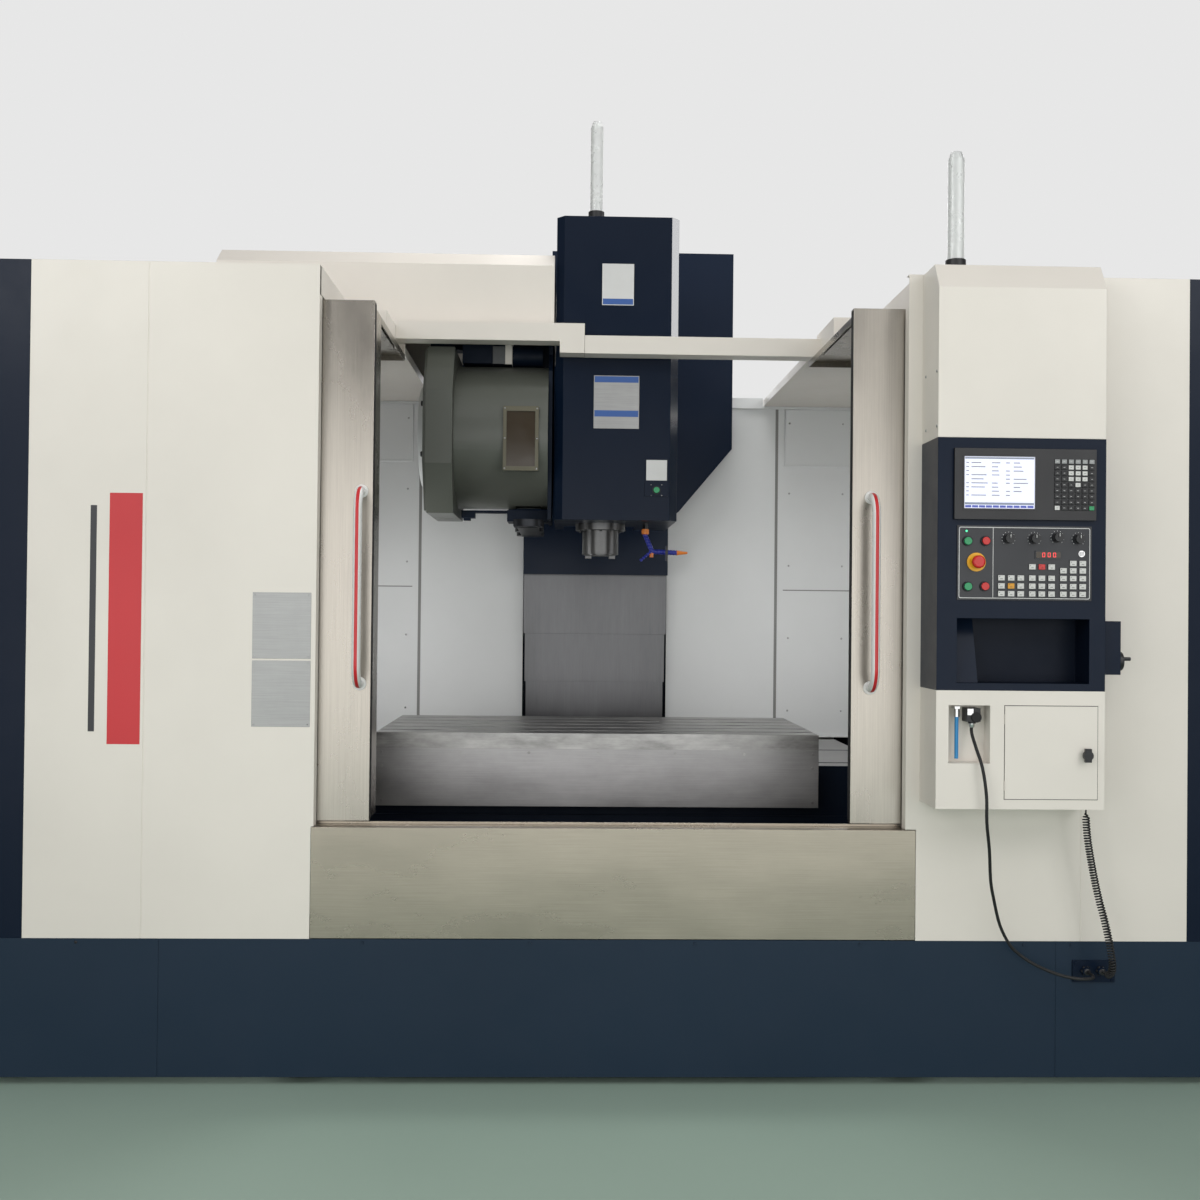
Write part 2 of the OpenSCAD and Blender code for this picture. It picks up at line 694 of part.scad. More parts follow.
cable_points = [
    [1113, -150, 1179.7], [1113, -150, 1150], [1118, -180, 1105], [1130, -206, 1045],
    [1142, -208, 960], [1146, -200, 880], [1168, -160, 787], [1186, -120, 686],
    [1207, -90, 617], [1237, -60, 530], [1275, -45, 463], [1310, -40, 430],
    [1345, -50, 407], [1385, -70, 390], [1425, -92, 379], [1465, -103, 373],
    [1495.5, -104, 371.5], [1523.8, -92.3, 371.5], [1535.5, -64, 371.5],
    [1535.5, -45, 371.5], [1535.5, -24.3, 371.5]
];

module control_cable() color(black)
    translate([0, front_y, 0]) tube(smooth(cable_points, 4), 10, 8);

coil_points = [
    [1500, -90, 916.7], [1500, -90, 880], [1508, -88, 800], [1528, -82, 700],
    [1546, -82, 620], [1562, -91, 550], [1573, -101, 485], [1580, -105, 430],
    [1583, -100.8, 405.5], [1584.5, -88.9, 387.6], [1584.5, -71, 375.7],
    [1584.5, -50, 371.5], [1584.5, -24.3, 371.5]
];

module coiled_cable() color(black)
    translate([0, front_y, 0]) tube(smooth(coil_points, 4), 25, 12);

cab_l = 640;
cab_r = 1700;
cab_d0 = 2400;
cab_d1 = 2950;

module electrical_cabinet() color(white) {
    difference() {
        block(cab_l, cab_r, cab_d0, cab_d1, 60, 2300);
        block(cab_l + 60, cab_r - 60, cab_d1 - 20, cab_d1 + 1, 180, 2240);
    }
    block(cab_l + 40, cab_r - 40, cab_d0 + 30, cab_d1 - 30, 0, 61);
    block(1250, 1500, cover_d, cab_d0 + 1, 1900, 2100);
}

module signal_lamp() color(white) {
    rod_z(1070, -90, panel_top - 2, panel_top + 22, 64);
    rod_z(1070, -90, panel_top + 22, panel_top + 340, 52);
    translate([1070, at(-90), panel_top + 340]) cylinder(h = 26, d1 = 52, d2 = 34);
}

mag_d = spindle_back;
arm_x = col_x - arm_reach;
plate_r = -218;
gear_z = mag_z + drum_r + 0.4;

module changer_body() color(navy) {
    slab_x([
        [mag_d - 190, 1884], [mag_d + 190, 1884], [mag_d + 330, 2000], [1850, 2150],
        [1850, 2600], [1735, 2600], [1735, 2860], [mag_d - 120, 2860], [mag_d - 120, 2560], [mag_d - 200, 2480], [mag_d - 200, 2000]
    ], drum_right, plate_r);
    block(-400, drum_right, mag_d - 80, mag_d + 80, 1884, 1930);
    rod_z(arm_x, mag_d, 1878, 1885, 96);
    block(-598, drum_right, mag_d + 62, mag_d + 110, mag_z - drum_r - 12, mag_z - drum_r - 2);
    block(-598, -541, mag_d + 62, mag_d + 110, mag_z - drum_r - 34, mag_z - drum_r - 2);
    block(-590, -560, mag_d + 70, mag_d + 104, mag_z - drum_r - 44, mag_z - drum_r - 33);
    rod_x(-262, drum_right, mag_d, mag_z, 150);
    rod_x(-300, -262, mag_d, mag_z, 60);
    block(-588, -464, mag_d - 90, mag_d + 30, gear_z + 2, gear_z + 76);
    block(-464, -415, mag_d - 96, mag_d + 20, gear_z, gear_z + 72);
    block(-415, -386, mag_d - 90, mag_d + 100, gear_z, 2640);
    rod_x(-386, -260, mag_d - 30, gear_z + 43, 84);
    block(-415, drum_right, mag_d + 20, mag_d + 100, gear_z, 2640);
    block(-760, drum_right, 1500, 1580, 2660, 2760);
    block(-760, -700, 1500, 2160, 2660, 2760);
    block(-760, col_x - column_head_half - 20, 2130, 2160, 2660, 2760);
}

// Profile of the ring round the drum, reduced all round by g
function ring_profile(g) = [for (p = [
    [-1, -0.43], [-1, 0.43], [-0.72, 1], [0.72, 1], [1, 0.43], [1, -0.43], [0.72, -1], [-0.72, -1]
]) [mag_d + p[0] * (ring_r - g), mag_z + p[1] * (ring_r - g)]];

module magazine_drum() color(drum_grey) difference() {
    union() {
        difference() {
            rod_x(ring_right + joint_gap, drum_right, mag_d, mag_z, 2 * drum_r);
            rod_x(ring_right - 3, drum_right + 1, mag_d, mag_z, 2 * drum_r - 8);
        }
        difference() {
            union() {
                slab_x(ring_profile(0), ring_left + 10, ring_right);
                slab_x(ring_profile(10), ring_left, ring_left + 11);
            }
            rod_x(ring_left + 8, ring_right + 1, mag_d, mag_z, 2 * drum_r - 8);
        }
        translate([ring_left + 1, at(mag_d), mag_z]) rotate([0, -90, 0]) difference() {
            cylinder(h = 33, r1 = 241, r2 = 205);
            translate([0, 0, -1]) cylinder(h = 30, r1 = 236, r2 = 200);
        }
        for (a = [0:45:315])
            rod_x(ring_left - 6, ring_left + 1, mag_d + 262 * cos(a + 22), mag_z + 262 * sin(a + 22), 26);
        block(-409, -270, mag_d - drum_r - 10, mag_d - drum_r + 30, 2067, 2320);
    }
    block(-396, -283, mag_d - drum_r - 11, mag_d - drum_r + 60, 2084, 2301);
    block(-410, -269, mag_d - drum_r + 3.5, mag_d - drum_r + 31, 2150, 2310);
    rod_x(-418, -261, mag_d, mag_z, 2 * drum_r - 8);
    block(-365, -262, mag_d - 60, mag_d + 60, 1930, 1990);
}

module magazine_window() color([0.30, 0.18, 0.08])
    block(-396, -283, mag_d - drum_r - 6, mag_d - drum_r - 2, 2084, 2301);

way_3 = column_front - 100;

// Way cover sheet; k counts the steps behind the first one
module way_sheet(half, k, z0, z1)
    block(col_x - half, col_x + half, way_3 - way_step * (2 - k), way_3 - way_step * (2 - k) + sheet, z0, z1);

module lower_z_cover() color(steel) {
    way_sheet(way_half - 13, 2, foot_deck, 1290);
    block(col_x - way_half + 13, col_x + way_half - 13, way_3, way_3 + 50, foot_deck, foot_deck + sheet);
}

module middle_z_cover() color(steel) {
    way_sheet(way_half - 7, 1, way_2_bottom, way_2_bottom + 350);
    block(col_x - way_half + 7, col_x + way_half - 7, way_3 - way_step - 0.7, way_3 - way_step, way_2_bottom + 330, way_2_bottom + 350);
}

win_z = 1350;
win_in = 240;

// Sliding door; edge is its inner side, dir points towards the other door
module door(edge, dir) {
    far = edge - dir * door_w;
    difference() {
        block(min(far, edge), max(far, edge), door_set, door_set + door_t, door_bottom, door_top);
        block(min(edge - dir * win_in, edge - dir * (win_in + window_w)), max(edge - dir * win_in, edge - dir * (win_in + window_w)),
            door_set - 1, door_set + door_t + 1, win_z, win_z + window_h);
    }
    block(min(far, edge), max(far, edge), door_set, return_d, return_top - sheet, return_top);
    block(min(edge, edge - dir * sheet), max(edge, edge - dir * sheet), door_set, return_d, return_top - return_rim, return_top);
    block(min(far, edge), max(far, edge), return_d - sheet, return_d, return_top - return_rim, return_top);
    block(min(far, edge - dir * 12), max(far, edge - dir * 12), door_set + door_t, 619, return_top - return_rim + 2, return_top);
    for (x = [80, door_w - 160])
        block(min(edge - dir * x, edge - dir * (x + 80)), max(edge - dir * x, edge - dir * (x + 80)),
            door_set + 15, door_set + 25, sill_top + 8, door_bottom + 1);
}

module left_door() color(stainless) {
    door(door_left_edge, 1);
    difference() {
        block(door_left_edge - 34, door_left_edge, door_set + door_t, door_set + channel_d, door_bottom + 6, return_top - return_rim);
        block(door_left_edge - 30, door_left_edge - 4, door_set + door_t + 20, door_set + channel_d + 1, door_bottom + 5, return_top - return_rim - 20);
    }
}

module right_door() color(stainless) door(door_right_edge, -1);

// Window in a door; frame and pane together
module door_window(edge, dir) {
    a = min(edge - dir * win_in, edge - dir * (win_in + window_w));
    difference() {
        block(a, a + window_w, door_set + 4, door_set + door_t - 4, win_z, win_z + window_h);
        block(a + 24, a + window_w - 24, door_set + 3, door_set + 14, win_z + 24, win_z + window_h - 24);
        block(a + 24, a + window_w - 24, door_set + 24, door_set + door_t, win_z + 24, win_z + window_h - 24);
    }
}

module left_window() color(black) door_window(door_left_edge, 1);

module right_window() color(black) door_window(door_right_edge, -1);

// Bow handle at x
module handle(x) {
    rod_z(x, door_set - grip_out, grip_mid - grip_len / 2, grip_mid + grip_len / 2, handle_dia);
    for (s = [-1, 1]) {
        z = grip_mid + s * grip_len / 2;
        translate([x, at(door_set - grip_out + bow_r), z]) rotate([90, 0, -90])
            rotate([0, 0, s > 0 ? 0 : -90]) rotate_extrude(angle = 90) translate([bow_r, 0]) circle(d = handle_dia);
        rod_y(x, door_set - grip_out + bow_r, door_set, z + s * bow_r, handle_dia);
        rod_y(x, door_set - 5, door_set, z + s * bow_r, handle_dia + 16);
    }
}

module left_handle() color(white) handle(door_left_edge - handle_in);

module right_handle() color(white) handle(door_right_edge + handle_in + 26);

saddle_l = col_x - saddle_half;
saddle_r = col_x + saddle_half;

module saddle() color(navy) {
    difference() {
        block(saddle_l, saddle_r, saddle_front, saddle_back, saddle_bottom, x_plate_z);
        block(saddle_l - 1, saddle_r + 1, saddle_front + 12, saddle_back - 12, x_seat, x_plate_z + 1);
        block(saddle_l + 40, saddle_r - 40, x_screw_d - 80, x_screw_d + 80, x_screw_z - 65, x_seat + 1);
        for (x = [-860, 480])
            block(col_x + x, col_x + x + 380, saddle_front + 60, saddle_back - 60, saddle_bottom - 1, 760);
    }
    for (x = [saddle_l, saddle_r - 12])
        block(x, x + 12, saddle_front, saddle_back, x_seat - 1, x_plate_z);
    difference() {
        block(saddle_l, saddle_r, saddle_front, saddle_back, x_plate_z, x_plate_z + plate_t);
        for (d = [x_rail_front, x_rail_back])
            block(saddle_l + 25, saddle_r - 25, d - slit_w / 2, d + slit_w / 2, x_plate_z - 1, x_plate_z + plate_t + 1);
        block(table_x - 810, table_x + 830, x_screw_d - 18, x_screw_d + 18, x_plate_z - 1, x_plate_z + plate_t + 1);
    }
    for (d = [x_rail_front, x_rail_back])
        block(saddle_l + 13, saddle_r - 13, d - rail_w / 2, d + rail_w / 2, x_seat, x_rail_top);
    for (x = [-560, 560])
        block(col_x + min(x, x + sign(x) * 590), col_x + max(x, x + sign(x) * 590), saddle_back, 1972, x_plate_z, x_plate_z + plate_t);
    for (x = [-1148, -562, 560, 1146])
        block(col_x + x, col_x + x + 4, saddle_back, 1972, x_plate_z - 40, x_plate_z + 1);
    for (x = [-y_rail_x, y_rail_x], d = [saddle_front + 100, saddle_back - 100]) {
        carriage_y(col_x + x, d, 636, y_plate_z - clear, y_rail_top);
        block(col_x + x - web_t / 2, col_x + x + web_t / 2, d - 60, d + 60, y_rail_top + clear, saddle_bottom);
    }
    block(col_x - 14, col_x + 14, spindle_back - 10, spindle_back + 70, y_screw_z + 40, saddle_bottom);
    difference() {
        rod_y(col_x, spindle_back - 10, spindle_back + 70, y_screw_z, nut_dia);
        rod_y(col_x, spindle_back - 11, spindle_back + 71, y_screw_z, screw_dia + 2);
        block(col_x - 14, col_x + 14, spindle_back - 11, spindle_back + 71, y_screw_z + 41, saddle_bottom);
    }
    for (x = [col_x - 1060, col_x + 1010])
        difference() {
            block(x, x + 40, x_screw_d - 60, x_screw_d + 60, x_screw_z - 65, x_seat + 20);
            rod_x(x - 1, x + 41, x_screw_d, x_screw_z, screw_dia * 0.7 + 1);
        }
    block(col_x + 1060, col_x + 1240, x_screw_d - 60, x_screw_d + 60, x_screw_z - 65, x_screw_z + 62);
    block(saddle_l + 20, saddle_r - 20, saddle_front - 8, saddle_front, 696, 724);
}

module table() color(iron) {
    difference() {
        union() {
            block(table_x - table_l / 2, table_x + table_l / 2, table_front, table_front + table_w, table_bottom, table_top);
            block(table_x - table_l / 2, table_x + table_l / 2, table_front - 4, table_front, table_top - band_h, table_top);
        }
        for (i = [0:slot_n - 1])
            t_slot(spindle_back + (i - (slot_n - 1) / 2) * slot_pitch);
        for (d = [table_front + 60, table_front + table_w - 110])
            block(table_x - table_l / 2 + 70, table_x + table_l / 2 - 70, d, d + 50, table_bottom - 1, table_bottom + 40);
    }
    block(table_x - table_l / 2, table_x + table_l / 2, table_front - 4, table_front, table_top - band_h - apron_h, table_top - band_h);
    for (x = [22 - table_l / 2, -528, -265, 0, 298, 562, table_l / 2 - 22])
        front_screw(table_x + x, table_front - 4, table_top - 75, 11);
    for (x = [25 - table_l / 2, table_l / 2 - 23], z = [table_top - 128, table_top - 260])
        front_screw(table_x + x, table_front - 4, z, 11);
    for (x = [-450, 450], d = [x_rail_front, x_rail_back]) {
        carriage_x(table_x + x, d, x_seat + 6, x_plate_z - clear, x_rail_top);
        block(table_x + x - 60, table_x + x + 60, d - web_t / 2, d + web_t / 2, x_rail_top + clear, table_bottom);
    }
    block(table_x - 50, table_x + 50, x_screw_d - 14, x_screw_d + 14, x_screw_z + 40, table_bottom);
    difference() {
        rod_x(table_x - 50, table_x + 50, x_screw_d, x_screw_z, nut_dia);
        rod_x(table_x - 51, table_x + 51, x_screw_d, x_screw_z, screw_dia + 2);
        block(table_x - 51, table_x + 51, x_screw_d - 14, x_screw_d + 14, x_screw_z + 41, table_bottom);
    }
}

module x_ball_screw() color(steel) {
    rod_x(col_x - 1015, col_x + 1005, x_screw_d, x_screw_z, screw_dia);
    rod_x(col_x - 1060, col_x + 1058, x_screw_d, x_screw_z, screw_dia * 0.7);
}

module y_ball_screw() color(steel) {
    rod_y(col_x, 482, bed_d1 - 62, y_screw_z, screw_dia);
    rod_y(col_x, 438, bed_d1 - 22, y_screw_z, screw_dia * 0.7);
}

module z_ball_screw() color(steel) {
    rod_z(col_x, z_screw_d, 1432, 3038, screw_dia);
    rod_z(col_x, z_screw_d, 1386, 3068, screw_dia * 0.7);
}

neck = 150;
plate_d1 = column_front - rail_h - 10;
nose_shell = 10;
joint_gap = 0.3;
hose_x = 165;
hose_d = 1100;

module head_casting() color(navy) {
    difference() {
        union() {
            slab_x([
                [spindle_back - 150, head_bottom + sheet], [spindle_back + 150, head_bottom + sheet], [spindle_back + 420, 1960], [plate_d1 - 35, 1960],
                [plate_d1 - 35, 2420], [spindle_back + 420, 2420], [spindle_back + 150, 2448], [spindle_back - 150, 2448]
            ], col_x - neck, col_x + neck);
            rod_z(col_x, spindle_back, 1853, head_bottom + sheet - joint_gap, flange_dia);
            rod_z(col_x, spindle_back, nose_z + 16, 1854, nose_dia);
        }
        rod_z(col_x, spindle_back, nose_z - 1, 2449, nose_dia - 2 * nose_shell);
        block(col_x - 100, col_x + 100, spindle_back + 260, spindle_back + 640, 2040, 2449);
    }
    for (a = [0:60:300])
        rod_z(col_x + 90 * cos(a), spindle_back + 90 * sin(a), 1849, 1854, 14);
    difference() {
        block(col_x - 312, col_x + 312, plate_d1 - 35, plate_d1, 2000, 2850);
        block(col_x - 130, col_x + 130, plate_d1 - 36, plate_d1 + 1, 2560, 2760);
    }
    for (x = [-rail_x_gap, rail_x_gap], z = [2060, 2790])
        difference() {
            block(col_x + x - 55, col_x + x + 55, plate_d1, column_front - 6, z - 55, z + 55);
            block(col_x + x - rail_w / 2 - clear, col_x + x + rail_w / 2 + clear, column_front - rail_h - clear, column_front, z - 56, z + 56);
        }
    difference() {
        block(col_x - 50, col_x + 50, plate_d1, z_screw_d + 45, 2340, 2440);
        rod_z(col_x, z_screw_d, 2339, 2441, screw_dia + 2);
    }
}

module head_shell(g)
    slab_z([
        [head_left + g, head_front + head_chamfer + g], [head_left + head_chamfer + g / 2, head_front + g],
        [head_right - head_chamfer - g / 2, head_front + g], [head_right - g, head_front + head_chamfer + g],
        [head_right - g, head_front + head_d + (g > 0 ? 1 : 0)], [head_left + g, head_front + head_d + (g > 0 ? 1 : 0)]
    ], head_bottom + g, head_top - g);

module head_cover() color(navy) {
    difference() {
        head_shell(0);
        head_shell(sheet);
        rod_z(col_x, spindle_back, head_bottom - 1, head_bottom + sheet + 1, flange_dia + 4);
        rod_y(198, head_front - 1, head_front + sheet + 1, 2001.6, button_dia + 0.6);
        block(col_x - neck - 2, col_x + neck + 2, spindle_back + 150, head_front + head_d + 2, head_bottom - 1, 1961);
    }
    block(-25, 101, head_front - 2, head_front, 2734, 2899);
    block(-54, 126, head_front - 2, head_front, 2244, 2454);
    difference() {
        block(151, 245, head_front - 4, head_front, 1978, 2126);
        rod_y(198, head_front - 5, head_front + 1, 2001.6, button_dia + 0.6);
    }
    rod_z(-50, 1000, head_top, head_top + 30, 64);
    rod_z(-50, 1000, head_top + 30, 3456, 50);
    translate([-50, at(1000), 3456]) cylinder(h = 24, d1 = 50, d2 = 34);
}

slope_x = shield_half - 252;

module head_shield() color(navy) {
    difference() {
        slab_y([
            [head_left - 30, shield_top], [head_left - 30, shield_top - 80], [col_x - shield_half, shield_top - 80],
            [col_x - shield_half, 2107], [col_x - way_half - 2, 1964],
            [col_x - way_half - 2, shield_bottom], [col_x + way_half + 2, shield_bottom],
            [col_x + way_half + 2, 1964], [col_x + slope_x, 1997], [col_x + shield_half, shield_slope_z],
            [col_x + shield_half, shield_top]
        ], shield_front, shield_front + sheet);
        block(col_x - neck, col_x + neck, shield_front - 1, shield_front + sheet + 1, 1960, 2420);
    }
    block(col_x - shield_half, col_x - shield_half + sheet, shield_front, shield_front + 30, 2107, shield_top - 80);
    block(col_x + shield_half - sheet, col_x + shield_half, shield_front, shield_front + 30, shield_slope_z, shield_top);
    block(head_left - 30, col_x + shield_half, shield_front, shield_front + 60, shield_top - sheet, shield_top);
    for (x = [-way_half, way_half - sheet])
        block(col_x + x, col_x + x + sheet, shield_front, way_3 - 8 + sheet, shield_bottom, 1950);
    way_sheet(way_half, 0, way_1_bottom, 1950);
}

module spindle() color(steel) {
    difference() {
        union() {
            rod_z(col_x, spindle_back, nose_z + 12, nose_z + 130, nose_dia - 2 * nose_shell - 2);
            rod_z(col_x, spindle_back, nose_z + 130, 2449, 110);
        }
        translate([col_x, at(spindle_back), nose_z + 11]) cylinder(h = 104, d1 = taper_dia, d2 = taper_dia - 30);
        rod_z(col_x, spindle_back, nose_z + 110, nose_z + 400, 26);
    }
    for (s = [-1, 1])
        block(col_x + s * 49 - 13, col_x + s * 49 + 13, spindle_back - 12, spindle_back + 12, nose_z, nose_z + 13);
}

module spindle_motor() color(black) {
    block(col_x - 135, col_x + 135, spindle_back - 135, spindle_back + 135, 2449, 2470);
    rod_z(col_x, spindle_back, 2470, 2900, 260);
    rod_z(col_x, spindle_back, 2900, 2950, 230);
    block(col_x + 100, col_x + 170, spindle_back - 50, spindle_back + 50, 2700, 2800);
}

// Beads of a segmented coolant hose at depth d
module hose(points, d, dia)
    for (p = points)
        translate([p[0], at(d), p[1]]) sphere(d = dia, $fn = 24);

module coolant_nozzles() color([0.05, 0.15, 0.7]) {
    rod_z(hose_x, hose_d, 1852, head_bottom, 22);
    rod_z(hose_x, hose_d, 1836, 1856, 30);
    hose([for (i = [0:5]) [hose_x + i * 5.2, 1831 - i * 12]], hose_d, 21);
    hose([for (i = [0:8]) [hose_x + 33 + i * 12, 1765 - i * 0.5]], hose_d, 21);
    hose([for (i = [0:4]) [hose_x + 20 - i * 9, 1762 - i * 8]], hose_d - 6, 13);
    translate([hose_x + 129, at(hose_d), 1761]) rotate([0, 90, 0]) cylinder(h = 44, d1 = 20, d2 = 8);
    rod_z(hose_x + 26, hose_d, 1742, 1772, 16);
    block(hose_x + 82, hose_x + 92, hose_d - 14, hose_d - 4, 1728, 1788);
}

module tool_disc() color(steel) {
    difference() {
        rod_x(-290, -266, mag_d, mag_z, 2 * pot_circle + 20);
        rod_x(-301, -261, mag_d, mag_z, 62);
        for (a = [0:60:300])
            rod_x(-291, -265, mag_d + 120 * cos(a), mag_z + 120 * sin(a), 70);
    }
    difference() {
        for (i = [0:pot_n - 1])
            rod_x(-370, -268, mag_d + pot_circle * cos(360 * i / pot_n), mag_z + pot_circle * sin(360 * i / pot_n), pot_dia);
        for (i = [0:pot_n - 1])
            translate([-371, at(mag_d + pot_circle * cos(360 * i / pot_n)), mag_z + pot_circle * sin(360 * i / pot_n)])
                rotate([0, 90, 0]) cylinder(h = 80, d1 = 44, d2 = 24);
    }
}

module changer_arm() color(steel) {
    difference() {
        union() {
            rod_z(arm_x, mag_d, arm_z, arm_z + arm_t + 1.5, 120);
            block(arm_x - 42, arm_x + 42, mag_d - arm_reach + 20, mag_d + arm_reach - 20, arm_z, arm_z + arm_t - 2);
            for (s = [-1, 1])
                rod_z(arm_x, mag_d + s * arm_reach, arm_z, arm_z + arm_t - 2, 128);
        }
        for (s = [-1, 1]) {
            rod_z(arm_x, mag_d + s * arm_reach, arm_z - 1, arm_z + arm_t + 1, 84);
            block(min(arm_x, arm_x + s * 80), max(arm_x, arm_x + s * 80), mag_d + s * arm_reach - 34, mag_d + s * arm_reach + 34,
                arm_z - 1, arm_z + arm_t + 1);
        }
    }
}

// Round push button at x, z in the operator panel
module push_button(x, z) {
    rod_y(x, panel_d - 11, panel_d, z, button_dia);
}

module emergency_stop() color([0.75, 0.05, 0.05]) {
    rod_y(1112, panel_d - 26, panel_d - 3, 1682, 24);
    rod_y(1112, panel_d - 30, panel_d - 18, 1682, stop_dia);
    translate([1112, at(panel_d - 30), 1682]) rotate([90, 0, 0]) cylinder(h = 4, d1 = stop_dia, d2 = stop_dia - 8);
}

module power_on_button() color([0.1, 0.6, 0.2]) push_button(1084.5, 1747);

module power_off_button() color([0.75, 0.05, 0.05]) push_button(1141, 1748);

module cycle_start_button() color([0.1, 0.6, 0.2]) push_button(1085.5, 1606);

module feed_hold_button() color([0.75, 0.05, 0.05]) push_button(1139, 1607);

module tool_release_button() color([0.1, 0.6, 0.2])
    rod_y(198, head_front - 14, head_front - 1, 2001.6, button_dia);

// Rotary knob with its pointer bar
module knob(x, z) {
    rod_y(x, panel_d - 7, panel_d, z, knob_dia + 4);
    rod_y(x, panel_d - 20, panel_d - 7, z, knob_dia);
    block(x - 3, x + 3, panel_d - 22, panel_d - 19, z, z + knob_dia / 2);
}

module mode_knob() color(black) knob(1213, 1756);

module feed_knob() color(black) knob(1294, 1756);

module rapid_knob() color(black) knob(1366, 1761);

module spindle_knob() color(black) knob(1432, 1757);

module key_switch() color(steel) {
    rod_y(1442, panel_d - 4, panel_d + 3, 1711, 12);
    block(1441, 1443, panel_d - 22, panel_d - 3, 1705, 1717);
    rod_y(1442, panel_d - 2, panel_d, 1711, 20);
}

module console_door() color(white) {
    block(1207, 1497, -pod_out - 2, -pod_out + 2, 949, 1237);
    for (z = [975, 1181])
        rod_z(1207, -pod_out - 2, z, z + 30, 4);
    rod_y(1460, -pod_out - 14, -pod_out - 2, 1087, 16);
    rod_y(1460, -pod_out - 28, -pod_out - 14, 1087, 30);
    block(1450, 1470, -pod_out - 26, -pod_out - 16, 1066, 1108);
}

module handwheel() color(black) {
    rod_x(pod_right + 62, pod_right + 70, -95, 1376, 30);
    rod_x(pod_right + 70, pod_right + 86, -95, 1376, wheel_dia);
    rod_x(pod_right + 86, pod_right + 108, -95 - 20, 1376 + 8, 12);
}

module cabinet_door() color(white) {
    block(cab_l + 40, cab_r - 40, cab_d1, cab_d1 + 22, 160, 2260);
    for (z = [500, 1900])
        rod_z(cab_r - 40, cab_d1 + 16, z, z + 120, 18);
    block(cab_l + 90, cab_l + 150, cab_d1 + 22, cab_d1 + 28, 1480, 1540);
    rod_y(cab_l + 120, cab_d1 + 28, cab_d1 + 42, 1510, 44);
    block(cab_l + 113, cab_l + 127, cab_d1 + 40, cab_d1 + 48, 1486, 1534);
    block(cab_l + 100, cab_l + 124, cab_d1 + 22, cab_d1 + 34, 1080, 1220);
}

base_casting();
levelling_feet();
column_casting();
front_skirt();
front_sill();
left_front_panel();
right_front_panel();
left_side_cover();
right_side_cover();
left_roof();
right_roof();
back_wall();
pod_upper_box();
pod_console();
pod_lower_box();
display_unit();
operator_panel();
gland_plate();
control_cable();
coiled_cable();
electrical_cabinet();
signal_lamp();
changer_body();
magazine_drum();
magazine_window();
lower_z_cover();
left_door();
left_window();
left_handle();
right_door();
right_window();
right_handle();
saddle();
table();
x_ball_screw();
y_ball_screw();
z_ball_screw();
head_casting();
head_cover();
head_shield();
spindle();
spindle_motor();
coolant_nozzles();
middle_z_cover();
tool_disc();
changer_arm();
emergency_stop();
power_on_button();
power_off_button();
cycle_start_button();
feed_hold_button();
tool_release_button();
mode_knob();
feed_knob();
rapid_knob();
spindle_knob();
key_switch();
console_door();
handwheel();
cabinet_door();
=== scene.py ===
import json
from math import copysign, cos, hypot, pi, radians, sin
import bpy
import bmesh
from mathutils import Matrix, Vector


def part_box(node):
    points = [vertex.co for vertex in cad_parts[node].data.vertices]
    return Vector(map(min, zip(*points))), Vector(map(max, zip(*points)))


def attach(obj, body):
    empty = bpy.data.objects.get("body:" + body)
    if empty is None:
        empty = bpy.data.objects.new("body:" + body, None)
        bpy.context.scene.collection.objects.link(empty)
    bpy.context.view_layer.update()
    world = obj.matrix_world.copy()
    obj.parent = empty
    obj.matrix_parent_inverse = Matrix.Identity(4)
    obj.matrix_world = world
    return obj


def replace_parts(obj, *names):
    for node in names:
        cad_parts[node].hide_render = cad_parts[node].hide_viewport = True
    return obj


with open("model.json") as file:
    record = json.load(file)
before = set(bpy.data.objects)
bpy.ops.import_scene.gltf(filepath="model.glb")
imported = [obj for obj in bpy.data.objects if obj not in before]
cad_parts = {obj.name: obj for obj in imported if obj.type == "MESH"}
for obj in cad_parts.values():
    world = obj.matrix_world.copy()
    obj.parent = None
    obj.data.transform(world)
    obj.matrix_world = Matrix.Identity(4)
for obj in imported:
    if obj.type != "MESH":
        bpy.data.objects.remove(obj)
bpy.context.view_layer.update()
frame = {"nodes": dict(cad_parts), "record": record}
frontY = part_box("left_front_panel")[0].y  # plane of the white front panels


def mm(x, d, z):
    # millimetres: x, depth behind the front panels, height
    return Vector((x / 1000, frontY + d / 1000, z / 1000))


def newObject(name, data):
    made = bpy.data.objects.new(name, data)
    bpy.context.scene.collection.objects.link(made)
    return made


# The camera stands where the photograph was taken
shot = {"eye": (-160, -4112.8, 1512.7), "yaw": 1.57, "pitch": 0.579, "roll": 0.579, "lens": 38.38}


def placeCamera():
    yaw, pitch, roll = (radians(shot[k]) for k in ("yaw", "pitch", "roll"))
    ahead = Vector((sin(yaw) * cos(pitch), cos(yaw) * cos(pitch), sin(pitch)))
    side = Vector((cos(yaw), -sin(yaw), 0))
    above = side.cross(ahead)
    right = cos(roll) * side + sin(roll) * above
    up = cos(roll) * above - sin(roll) * side
    data = bpy.data.cameras.new("shotCamera")
    data.lens = shot["lens"]
    data.sensor_width = 36
    data.clip_end = 80
    camera = newObject("shotCamera", data)
    turn = Matrix((right, up, -ahead)).transposed()
    camera.matrix_world = Matrix.Translation(mm(*shot["eye"])) @ turn.to_4x4()
    bpy.context.scene.camera = camera


placeCamera()
print("camera placed")


# Shader groups, each used by several finishes

def addNode(tree, kind, **settings):
    # nodes stand in rows of six, in the order in which they are made
    number = len(tree.nodes)
    node = tree.nodes.new(kind)
    node.location = (number % 6 * 220, number // 6 * -320)
    for key, value in settings.items():
        setattr(node, key, value)
    return node


def fill(node, **values):
    for key, value in values.items():
        node.inputs[key.replace("_", " ")].default_value = value
    return node


